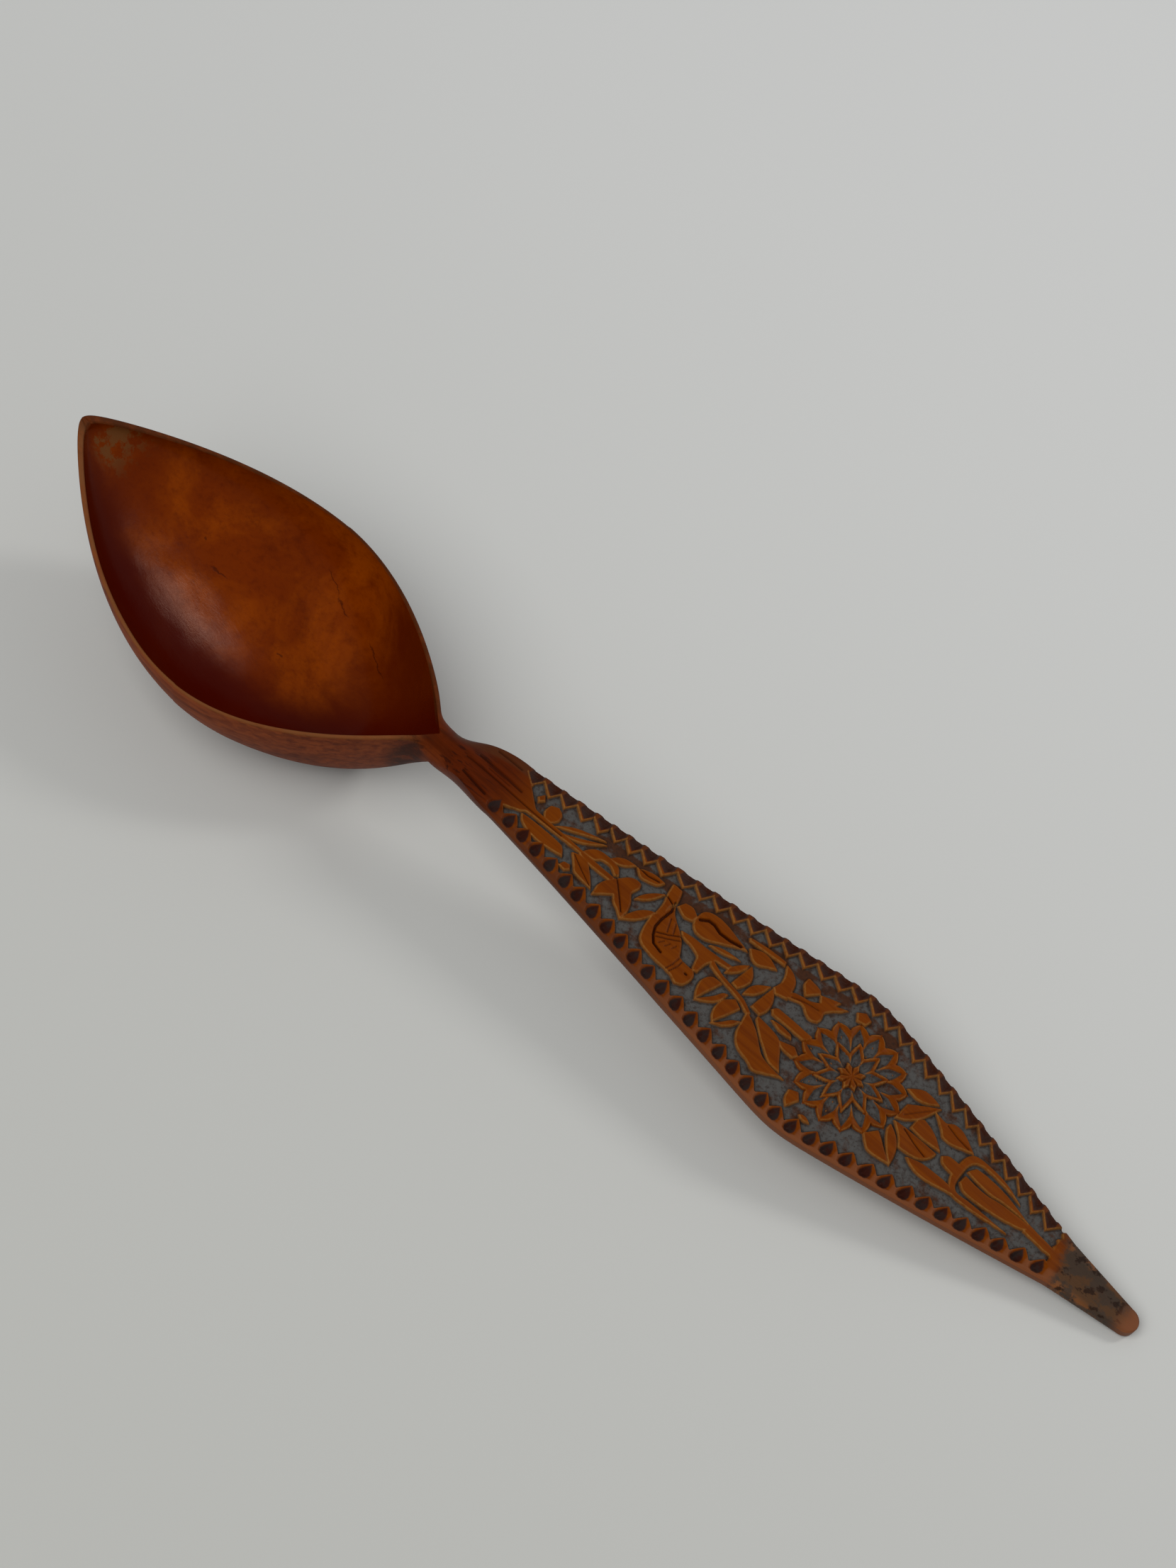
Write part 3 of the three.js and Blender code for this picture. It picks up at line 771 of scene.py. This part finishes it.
def under_points(x, half, start, bottom, roundness, steps, skip=0.0):
    """The underside of each ring, from the near edge round to the far one."""
    angle = np.linspace(np.pi, 0, steps + 2)[1:-1]
    across, down = hull_curve(angle, roundness)
    depth = (start - bottom)[:, None] * down
    fade = np.sin(angle) ** 0.5
    depth = depth - whittled(x[:, None], angle[None]).clip(0) * fade * smooth(depth, 0, 3)
    return half[:, None] * across, start[:, None] - np.maximum(depth, skip)


def bowl_stations():
    body_start, body_end = BOWL_ZONES
    tip = crowded(-BOWL_LENGTH + TIP_BLUNTING, body_start, BOWL_RINGS[0])
    body = np.linspace(body_start, body_end, BOWL_RINGS[1])
    root = np.linspace(body_end, NECK_PLACE, BOWL_RINGS[2])
    return np.concatenate([tip[:-1], body[:-1], root])


def bowl_rings():
    """Rings of the bowl: the far rim, the hollow, the near rim and the hull."""
    x = bowl_stations()
    half = half_width(x)
    share = (-CAVITY_START - x) / (BOWL_LENGTH - CAVITY_START - CAVITY_END_WALL)
    present = (share > 0) & (share < 1)
    share = np.clip(share, 0, 1)
    thickness = RIM_THICKNESS * (1 + 0.16 * value_noise(x, 0 * x, 11, SEED + 7))
    hollow = np.maximum(0.02, blunt_tip(share, leaf_outline(share, BOWL_HALF_WIDTH - thickness)))
    hollow = np.where(present, np.minimum(hollow, half - 0.35), 0.02)
    rim = rim_height(x)
    place = np.where(share < KEEL_PLACE, share, bowl_share(x))
    tip_floor = TIP_RISE - TIP_THICKNESS + CAVITY_TIP_WALL
    keel = keel_height(place, KEEL_DEPTH - FLOOR_THICKNESS, rim - 1, tip_floor)
    keel = np.minimum(keel, rim - 0.4)

    inner_half = np.maximum(hollow, 0.25 * half)[:, None]
    outer_half = half[:, None]
    rim_steps = np.array([0, 0.05, 0.12, 0.2, 0.3, 0.42, 0.54, 0.66, 0.77, 0.87, 0.95])
    far_rim = lerp(outer_half, inner_half, rim_steps)
    angle = np.linspace(0, np.pi, HOLLOW_STEPS)
    inner = inner_half * np.cos(angle)
    y = np.concatenate([far_rim, inner, -far_rim[:, ::-1]], 1)

    column = x[:, None]
    arch = arch_height(column, y, outer_half + 1e-9)
    from_edge = np.minimum(outer_half - np.abs(y), np.abs(np.abs(y) - inner_half))
    edge_drop = RIM_ROUNDING * np.exp(-((from_edge / 0.16) ** 2)) * (1 - neck_influence(column))
    on_rim = np.abs(y) >= hollow[:, None] - 1e-6
    reach = np.clip(np.abs(y) / hollow[:, None], 0, 1)
    depth = (1 - reach**HULL_ROUNDNESS) ** (1 / HULL_ROUNDNESS)
    dents = 0.09 * value_noise(column, y, 9, SEED + 8) + 0.05 * value_noise(column, y, 4, SEED + 9)
    floor = rim[:, None] - (rim - keel)[:, None] * depth + dents * smooth(depth, 0.2, 0.6)
    top = arch - edge_drop
    z = np.where(on_rim | ~present[:, None], top, np.minimum(top, floor))
    inside = np.where(on_rim, 0.0, smooth(top - z, 0.02, 0.35))
    bevel = 1.6 * smooth(column, -16, -4) * smooth(y, 0, 3)
    rim_layer = (1 - smooth(top - z, 0.05 + bevel, 0.2 + 1.5 * bevel)) * smooth(column, -2, -7)

    under_y, under_z = under_points(x, half, shoulder_height(x), underside_height(x), HULL_ROUNDNESS,
                                    HULL_STEPS, RIM_ROUNDING)
    # painted shade: the inside of the near wall is painted dark up to this wandering boundary
    near_shade_edge = lerp(10, -1, smooth(column, -14, -50)) + 3 * smooth(column, -78, -92)
    near_wall_shade = smooth(near_shade_edge - y, -5, 11)
    # painted light: the worn rim is painted lighter on the near side and darker on the far side
    lit_near_side = smooth(-y, -1, 4)
    layers = {
        "near_wall_shade": np.concatenate([near_wall_shade, 0 * under_y], 1),
        "lit_near_side": np.concatenate([lit_near_side, 0 * under_y + 1], 1),
        "inside": np.concatenate([inside, 0 * under_y], 1),
        "rim": np.concatenate([rim_layer, 0 * under_y], 1),
    }
    return x, np.concatenate([y, under_y], 1), np.concatenate([z, under_z], 1), layers


def handle_rings(x, columns):
    """Rings of the neck and the handle: the carved face, the two side walls and the back."""
    half = half_width(x)[:, None]
    share = np.linspace(1, -1, columns)
    rounded = np.sin(np.pi / 2 * share)
    spread = lerp(rounded, share, smooth(x, 4, 16)[:, None])
    y = half * spread
    column = np.broadcast_to(x[:, None], y.shape)
    height, layers = carve(column, y, half)
    carving_starts = smooth(column, 2, 7)
    edge_nick = smooth(-height, 0.5, 1.3) * smooth(np.abs(spread), 0.985, 1.0) * smooth(column, 18, 21)
    z = arch_height(column, y, half) + blurred(height, 1) * carving_starts
    local = z - blurred(z, 5)
    # painted light: the paler edge lines are stronger on walls that face the near side, where the light
    # falls
    lit_near_faces = smooth(blurred(np.gradient(z, axis=1), 2), 0.03, -0.03)
    from_centre = np.hypot(column - ROSETTE_CENTRE[0], y - ROSETTE_CENTRE[1])
    in_rosette = smooth(from_centre, ROSETTE_RADIUS + 0.2, ROSETTE_RADIUS - 0.2)
    edge_line = layers["crest"] * lerp(0.3, 1, lit_near_faces)
    ridges = np.clip(local / 0.15 - 0.2, 0, 1) * in_rosette
    layers["crest"] = np.maximum(edge_line, ridges) * carving_starts
    # painted shade: darkening in the creases and at the feet of the walls
    layers["crevice_shade"] = np.clip(-local / 0.16, 0, 1) * carving_starts
    y = y * (1 - 0.25 * edge_nick / half)

    shoulder = shoulder_height(x)
    side = EDGE_HEIGHT * smooth(x, *EDGE_GROWS)
    drop = np.array([0.12, 0.4, 0.7, 1.0])
    start = shoulder - side - 0.02
    near_top, far_top = z[:, -1], z[:, 0]
    near_z = lerp(near_top[:, None], np.minimum(start, near_top - 0.02)[:, None], drop)
    far_z = lerp(far_top[:, None], np.minimum(start, far_top - 0.02)[:, None], drop)
    side_y = np.broadcast_to(half, near_z.shape) * 1.0
    roundness = lerp(HULL_ROUNDNESS, BACK_ROUNDNESS, smooth(x, *EDGE_GROWS))[:, None]
    under_y, under_z = under_points(x, half[:, 0], start, underside_height(x), roundness,
                                    BACK_STEPS, 0.02)
    all_y = np.concatenate([y, -side_y, under_y, side_y], 1)
    all_z = np.concatenate([z, near_z, under_z, far_z[:, ::-1]], 1)
    rest = all_y.shape[1] - columns
    layers = {key: np.pad(values, ((0, 0), (0, rest))) for key, values in layers.items()}
    layers["band"][:, columns:] = 1
    return x, all_y, all_z, layers


def neck_and_handle():
    """The rings of the neck and those of the handle. They share the ring where they meet."""
    neck = np.linspace(NECK_PLACE, NECK_END, NECK_RINGS)
    blade = np.linspace(NECK_END, LOWER_END, BLADE_RINGS)
    end = crowded(HANDLE_LENGTH, LOWER_END, END_RINGS)[::-1]
    x, y, z, layers = handle_rings(np.concatenate([neck, blade[1:], end[1:]]), FACE_COLUMNS)
    parts = []
    for part in (slice(0, len(neck)), slice(len(neck) - 1, None)):
        parts.append((x[part], y[part], z[part], {key: values[part] for key, values in layers.items()}))
    return parts


# ---------------------------------------------------------------- materials

def colour(code):
    """The linear colour that a shader takes, from a screen colour written as rrggbb."""
    parts = np.array([int(code[i:i + 2], 16) for i in (0, 2, 4)]) / 255
    linear = np.where(parts > 0.04045, ((parts + 0.055) / 1.055) ** 2.4, parts / 12.92)
    return (*linear.tolist(), 1.0)


HULL_LIGHT, HULL_DARK = "7a3815", "5e250b"
NECK_LIGHT, NECK_DARK = "4c1801", "3c1100"
BLADE_LIGHT, BLADE_DARK = "672f00", "5b2600"
# dark tone of the grooves and cuts, also used as painted shade in the crevices
DEEP_RED = "3a1002"
DARK_LINE_AND_SHADE = "280a03"
VARNISH = (1.0, 0.58, 0.44, 1.0)   # the tint that old oil gives to the gloss
OIL_GLOSS = 0.1

# Where the tones change along the spoon, in millimetres of the carving frame
HULL_TO_NECK = (-9, -2)
NECK_TO_BLADE = (12, 28)
BAND_STARTS = (8, 30)
BAND_LIGHTENS = (45, 85)
END_STAIN = (161, 163.5)


class Shader:
    """The node tree of one material, with a short call for each kind of node."""

    def __init__(self, name):
        self.material = bpy.data.materials.new(name)
        self.material.use_nodes = True
        self.tree = self.material.node_tree
        self.tree.nodes.clear()

    def node(self, kind, inputs, **settings):
        node = self.tree.nodes.new("ShaderNode" + kind)
        for key, value in settings.items():
            setattr(node, key, value)
        for key, value in inputs.items():
            if isinstance(value, bpy.types.NodeSocket):
                self.tree.links.new(value, node.inputs[key])
            else:
                node.inputs[key].default_value = colour(value) if isinstance(value, str) else value
        return node

    def attribute(self, name, output="Fac"):
        return self.node("Attribute", {}, attribute_name=name).outputs[output]

    def axes(self, vector):
        return self.node("SeparateXYZ", {0: vector}).outputs

    def noise(self, vector, waves, detail, roughness, distortion=0.0):
        """Noise with its own number of waves per unit of length along each axis."""
        scaled = self.node("Mapping", {"Vector": vector, "Scale": waves}).outputs[0]
        inputs = {"Vector": scaled, "Scale": 1.0, "Detail": detail, "Roughness": roughness,
                  "Distortion": distortion}
        return self.node("TexNoise", inputs).outputs[0]

    def range(self, value, low, high, to_low=0.0, to_high=1.0):
        return self.node("MapRange", {0: value, 1: low, 2: high, 3: to_low, 4: to_high},
                         interpolation_type="SMOOTHSTEP").outputs[0]

    def math(self, operation, a, b=0.0):
        return self.node("Math", {0: a, 1: b}, operation=operation).outputs[0]

    def plus(self, a, b):
        return self.math("ADD", a, b)

    def minus(self, a, b):
        return self.math("SUBTRACT", a, b)

    def times(self, first, *others):
        product = first
        for factor in others:
            product = self.math("MULTIPLY", product, factor)
        return product

    def centred(self, noise, reach):
        """The noise moved to lie around 0 and stretched."""
        return self.times(self.minus(noise, 0.5), reach)

    def mix(self, factor, a, b):
        return self.node("Mix", {0: factor, 6: a, 7: b}, data_type="RGBA").outputs[2]

    def painted(self, base, *coats):
        """The base with coats over it, each as opaque as its factor."""
        for factor, tone in coats:
            base = self.mix(factor, base, tone)
        return base

    def bump(self, height, strength, distance):
        inputs = {"Height": height, "Strength": strength, "Distance": distance}
        return self.node("Bump", inputs).outputs[0]

    def finish(self, base, roughness, normal, gloss=None):
        """The finished material. Where gloss is given, it is the specular level, tinted by old oil."""
        inputs = {"Base Color": base, "Roughness": roughness, "Normal": normal}
        if gloss is not None:
            inputs.update({"Specular IOR Level": gloss, "Specular Tint": VARNISH})
        shader = self.node("BsdfPrincipled", inputs)
        output = self.tree.nodes.new("ShaderNodeOutputMaterial")
        self.tree.links.new(shader.outputs[0], output.inputs[0])
        return self.material


def near_segment(shader, axes, start, end, width, wobble):
    """1 on a thin line between two points of the carving plan, 0 away from it, with a wandering edge."""
    dx, dy = end[0] - start[0], end[1] - start[1]
    length = float(np.hypot(dx, dy))
    ux, uy = dx / length, dy / length
    px = shader.minus(axes[0], start[0])
    py = shader.minus(axes[1], start[1])
    along = shader.plus(shader.times(px, ux), shader.times(py, uy))
    across = shader.minus(shader.times(py, ux), shader.times(px, uy))
    across = shader.math("ABSOLUTE", shader.plus(across, wobble))
    on_line = shader.range(across, width, 0)
    from_start = shader.range(along, 0, 0.25 * length)
    to_end = shader.range(along, length, 0.75 * length)
    return shader.times(on_line, from_start, to_end)


def spoon_wood(shader):
    """Colour of the plain oiled wood from bowl to handle, with its grain running along the spoon.

    Distances along, across and up are those of the carving frame, in millimetres.
    """
    place = shader.attribute("carving", "Vector")
    axes = shader.axes(place)
    grain = shader.noise(place, (0.03, 0.9, 0.9), 6, 0.6, 0.4)
    fine = shader.noise(place, (0.1, 4.5, 4.5), 4, 0.6)
    clouds = shader.noise(place, (0.035, 0.06, 0.06), 5, 0.6, 0.3)
    streak = shader.range(grain, 0.35, 0.68)
    hull = shader.mix(streak, HULL_LIGHT, HULL_DARK)
    neck = shader.mix(streak, NECK_LIGHT, NECK_DARK)
    blade = shader.mix(streak, BLADE_LIGHT, BLADE_DARK)

    wandering = shader.plus(axes[0], shader.centred(clouds, 10))
    base = shader.mix(shader.range(wandering, *HULL_TO_NECK), hull, neck)
    base = shader.mix(shader.range(wandering, *NECK_TO_BLADE), base, blade)
    underside = shader.range(axes[2], -1, -3.5)
    base = shader.mix(shader.times(underside, shader.range(axes[0], 2, 20, 0.5, 0.2)), base, hull)

    clouded = shader.times(shader.range(clouds, 0.5, 0.75, 0, 0.6), shader.range(axes[0], 10, 24, 1, 0.3))
    lines = shader.noise(place, (0.014, 0.6, 0.8), 3, 0.5)
    lines = shader.times(shader.range(lines, 0.52, 0.6, 0, 0.4), shader.range(axes[0], -4, -14))
    on_neck = shader.times(shader.range(axes[0], 0, 3), shader.range(axes[0], 19, 10))
    grooves = shader.noise(place, (0.16, 1.5, 1.5), 3, 0.5)
    grooves = shader.times(shader.range(grooves, 0.55, 0.63, 0, 0.8), on_neck)
    rubbed = shader.times(shader.range(axes[0], -1.5, 1.5), shader.range(axes[0], 12, 7),
                          shader.range(axes[1], 0.5, 2.5), shader.range(clouds, 0.4, 0.55, 0.25, 0.75))
    base = shader.painted(
        base,
        (clouded, DEEP_RED),
        (shader.range(fine, 0.6, 0.8, 0, 0.25), DEEP_RED),
        (lines, DEEP_RED),
        (grooves, DARK_LINE_AND_SHADE),
        (rubbed, "3a2923"),
        # painted shade in the crevices
        (shader.times(shader.attribute("crevice_shade"), 0.8), DARK_LINE_AND_SHADE),
    )
    return place, axes, base, grain, fine


# Hair cracks inside the bowl: start and end in the plan, and width.
BOWL_CRACKS = [
    ((-65.5, 5.8), (-60.5, 6.7), 0.3),
    ((-69.8, 8.5), (-69.0, 8.6), 0.5),
    ((-47.5, 23.3), (-41.5, 20.7), 0.22),
    ((-42.5, 21.0), (-37.0, 18.8), 0.25),
    ((-43.8, 4.6), (-42.0, 5.2), 0.4),
    ((-31.0, 18.0), (-21.5, 12.6), 0.2),
]


def hollow_wood(shader, place, axes, mottle):
    """Colour of the bowl's inside: redder and darker at the root and at the tip, and painted shade that
    darkens the near wall.
    """
    patina = shader.noise(place, (0.045, 0.045, 0.045), 5, 0.62, 0.5)
    flecks = shader.noise(place, (0.7, 0.9, 0.9), 5, 0.7)
    uneven = shader.centred(patina, 0.9)
    root = shader.plus(shader.range(axes[0], -46, -18), uneven)
    # painted shade on the near wall, made uneven by the patina
    near_wall_shade = shader.plus(shader.attribute("near_wall_shade"), shader.times(uneven, 0.5))
    tip = shader.plus(shader.range(axes[0], -60, -98), uneven)
    chipped = shader.times(shader.range(axes[0], -86, -93), shader.range(axes[1], -2.5, 0.5),
                           shader.range(mottle, 0.49, 0.57), 0.8)
    return shader.painted(
        shader.mix(shader.range(patina, 0.42, 0.6), "7c3300", "672400"),
        (shader.range(root, 0.2, 1, 0, 0.8), "440e00"),
        (shader.range(mottle, 0.48, 0.75, 0, 0.5), "4a1200"),
        (shader.range(flecks, 0.45, 0.75, 0, 0.35), "451000"),
        # painted shade: dark maroon over the near wall
        (shader.range(near_wall_shade, 0.15, 1.05), "400600"),
        (shader.range(tip, 0.3, 1, 0, 0.5), "4a1200"),
        (chipped, "5c3a1c"),
    )


def smooth_wood():
    """The bowl: plain wood outside, a glossier hollow with painted shade on its near wall, a worn rim
    painted lighter on its near side and darker on its far side, a dark root corner that is partly stain and
    partly painted shade, and hair cracks.
    """
    shader = Shader("smooth_wood")
    place, axes, outer, grain, fine = spoon_wood(shader)
    mottle = shader.noise(place, (0.2, 0.25, 0.25), 6, 0.7)
    inside = shader.attribute("inside")
    base = shader.mix(inside, outer, hollow_wood(shader, place, axes, mottle))
    worn = shader.times(shader.attribute("rim"), shader.range(mottle, 0.25, 0.6, 0.5, 1))
    # painted light and shade: the rim's near side is lighter and its far side darker
    rim_tone = shader.mix(shader.attribute("lit_near_side"), "43200c", "6b4022")
    base = shader.mix(worn, base, rim_tone)

    wobble = shader.centred(mottle, 3)
    cracks = 0.0
    for start, end, width in BOWL_CRACKS:
        cracks = shader.math("MAXIMUM", near_segment(shader, axes, start, end, width, wobble), cracks)
    base = shader.mix(shader.times(cracks, 0.6), base, "200302")
    # partly a stain, partly painted shade where the neck goes under the bowl on the near side
    root_stain_and_shade = shader.times(shader.range(axes[0], -8.5, -5.5), shader.range(axes[0], 0, -2.5),
                                shader.range(axes[1], 0, -1), shader.range(axes[2], -1.2, -2.6),
                                shader.range(mottle, 0.42, 0.54, 0.1, 0.8))
    base = shader.mix(root_stain_and_shade, base, "270e07")

    height = shader.minus(shader.plus(shader.times(fine, 0.5), grain), cracks)
    gloss = shader.range(mottle, 0.3, 0.75, 0.18, 0.24)
    rough = shader.node("Mix", {0: inside, 2: 0.55, 3: gloss}, data_type="FLOAT").outputs[0]
    return shader.finish(base, rough, shader.bump(height, 0.1, 0.0003), OIL_GLOSS)


def handle_end(shader, place, axes, grime, base):
    """The plain end of the handle, worn and stained nearly black."""
    edge = shader.plus(axes[0], shader.times(grime, 5))
    edge = shader.plus(edge, shader.times(axes[1], 0.22))
    blots = shader.noise(place, (0.33, 0.4, 0.4), 4, 0.6)
    middle = shader.range(shader.math("ABSOLUTE", axes[1]), 4.4, 2.4)
    worn = shader.painted(
        shader.mix(middle, "674024", "44301f"),
        (shader.range(grime, 0.44, 0.54, 0, 0.9), "302b25"),
        (shader.range(blots, 0.55, 0.62, 0, 0.9), "14100d"),
        (shader.range(axes[0], 173.5, 178, 0, 0.8), "744429"),
    )
    return shader.mix(shader.range(edge, *END_STAIN, 0, 0.95), base, worn)


def carved_wood():
    """The neck and the handle: oiled raised wood, a matt grimy ground, sooty pits, worn edges with painted
    highlight on the walls facing the near side, and painted shade in the crevices.
    """
    shader = Shader("carved_wood")
    place, axes, base, grain, _ = spoon_wood(shader)
    ground = shader.attribute("ground")
    grime = shader.noise(place, (0.22, 0.22, 0.22), 6, 0.65)
    speck = shader.noise(place, (1.3, 1.3, 1.3), 5, 0.7)

    brown = shader.range(shader.plus(grime, shader.times(shader.attribute("far_edge"), 0.17)), 0.5, 0.68)
    earth = shader.mix(brown, "484745", "3d2519")
    earth = shader.mix(shader.range(speck, 0.45, 0.68, 0, 0.7), earth, "281d18")
    soot = shader.mix(shader.range(grime, 0.4, 0.6), "251c1a", "2a100a")
    band_tone = shader.mix(shader.range(axes[0], *BAND_LIGHTENS), "44271a", "6b422b")
    stained = shader.times(shader.attribute("stain"), shader.range(grime, 0.3, 0.6, 0.5, 0.95))
    band = shader.times(shader.attribute("band"), shader.range(axes[0], *BAND_STARTS, 0, 0.7))
    # painted shade along the feet of the walls in the sunk ground
    trench_shade = shader.times(shader.attribute("crevice_shade"), shader.range(ground, 0.2, 0.8, 0, 0.75))
    crest = shader.times(shader.attribute("crest"), shader.range(speck, 0.25, 0.6, 0.2, 0.65))
    ridge = shader.times(shader.attribute("ridge"), shader.range(speck, 0.3, 0.6, 0.1, 0.45))
    base = shader.painted(
        base,
        (stained, "45220f"),
        (band, band_tone),
        (shader.range(ground, 0.35, 0.95), earth),
        (trench_shade, "1d1210"),
        (shader.attribute("pit"), soot),
        (shader.times(shader.attribute("cut"), 0.8), DARK_LINE_AND_SHADE),
        # tan crests of the raised wood, partly painted highlight on the walls that face the near side
        (shader.math("MAXIMUM", crest, ridge), "89602f"),
    )
    base = handle_end(shader, place, axes, grime, base)

    height = shader.plus(shader.times(speck, shader.range(ground, 0, 1, 0.3, 1)), grain)
    rough = shader.range(ground, 0, 1, 0.45, 0.75)
    return shader.finish(base, rough, shader.bump(height, 0.2, 0.0004), OIL_GLOSS)


def floor_paper():
    shader = Shader("floor_paper")
    place = shader.node("TexCoord", {}).outputs["Object"]
    tone = shader.noise(place, (2, 2, 2), 3, 0.5)
    away = shader.axes(place)[1]
    # painted light: the floor is painted darker on the near side and lighter towards the far side
    base = shader.mix(shader.range(away, -0.25, 0.35), "b4b4af", "cacac8")
    base = shader.mix(shader.range(tone, 0.3, 0.7, 0, 0.08), base, "a8a8a2")
    normal = shader.bump(shader.noise(place, (900, 900, 900), 3, 0.6), 0.05, 0.0002)
    return shader.finish(base, 0.9, normal)


# ---------------------------------------------------------------- stage

def area_light(name, place, target, size, power, tint):
    light = bpy.data.lights.new(name, "AREA")
    light.shape = "RECTANGLE"
    light.size, light.size_y = size
    light.energy = power
    light.color = tint
    lamp = bpy.data.objects.new(name, light)
    lamp.location = place
    lamp.rotation_euler = (Vector(target) - Vector(place)).to_track_quat("-Z", "Y").to_euler()
    bpy.context.collection.objects.link(lamp)
    return lamp


def add_floor():
    reach = 8.0
    corners = [(-reach, -reach, 0), (reach, -reach, 0), (reach, reach, 0), (-reach, reach, 0)]
    mesh = bpy.data.meshes.new("floor")
    mesh.from_pydata(corners, [], [(0, 1, 2, 3)])
    mesh.materials.append(floor_paper())
    floor = bpy.data.objects.new("floor", mesh)
    bpy.context.collection.objects.link(floor)


def light_the_spoon():
    """A small window light from the far side, and a large soft one from behind the viewer."""
    world = bpy.data.worlds.new("studio")
    world.use_nodes = True
    background = world.node_tree.nodes["Background"]
    background.inputs["Color"].default_value = (0.93, 0.96, 1.0, 1)
    background.inputs["Strength"].default_value = 0.4
    bpy.context.scene.world = world
    bpy.context.scene.view_settings.view_transform = "Standard"
    area_light("window", (0.55, 0.73, 0.80), (-0.07, 0, 0), (0.18, 0.36), 3.4, (1.0, 0.995, 0.98))
    soft = area_light("ceiling", (-0.35, -1.1, 1.75), (0, 0, 0), (1.8, 1.8), 31, (1.0, 0.99, 0.98))
    soft.visible_glossy = False


def add_camera():
    camera = bpy.data.cameras.new("camera")
    camera.lens = LENS
    camera.sensor_width = 36
    camera.clip_start = 0.01
    holder = bpy.data.objects.new("camera", camera)
    back = -CAMERA_FORWARD.normalized()
    right = CAMERA_UP.cross(back).normalized()
    up = back.cross(right)
    turn = Matrix((right, up, back)).transposed().to_4x4()
    holder.matrix_world = Matrix.Translation(CAMERA_PLACE) @ turn
    bpy.context.collection.objects.link(holder)
    bpy.context.scene.camera = holder


def add_piece(name, rings, material, node):
    piece = ring_mesh(name, *rings, material)
    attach(piece, "root")
    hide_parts(node)


neck_shape, handle_shape = neck_and_handle()
carved_finish = carved_wood()
add_piece("spoon_bowl", bowl_rings(), smooth_wood(), "bowl")
add_piece("spoon_neck", neck_shape, carved_finish, "neck")
add_piece("spoon_handle", handle_shape, carved_finish, "handle")
add_floor()
light_the_spoon()
add_camera()
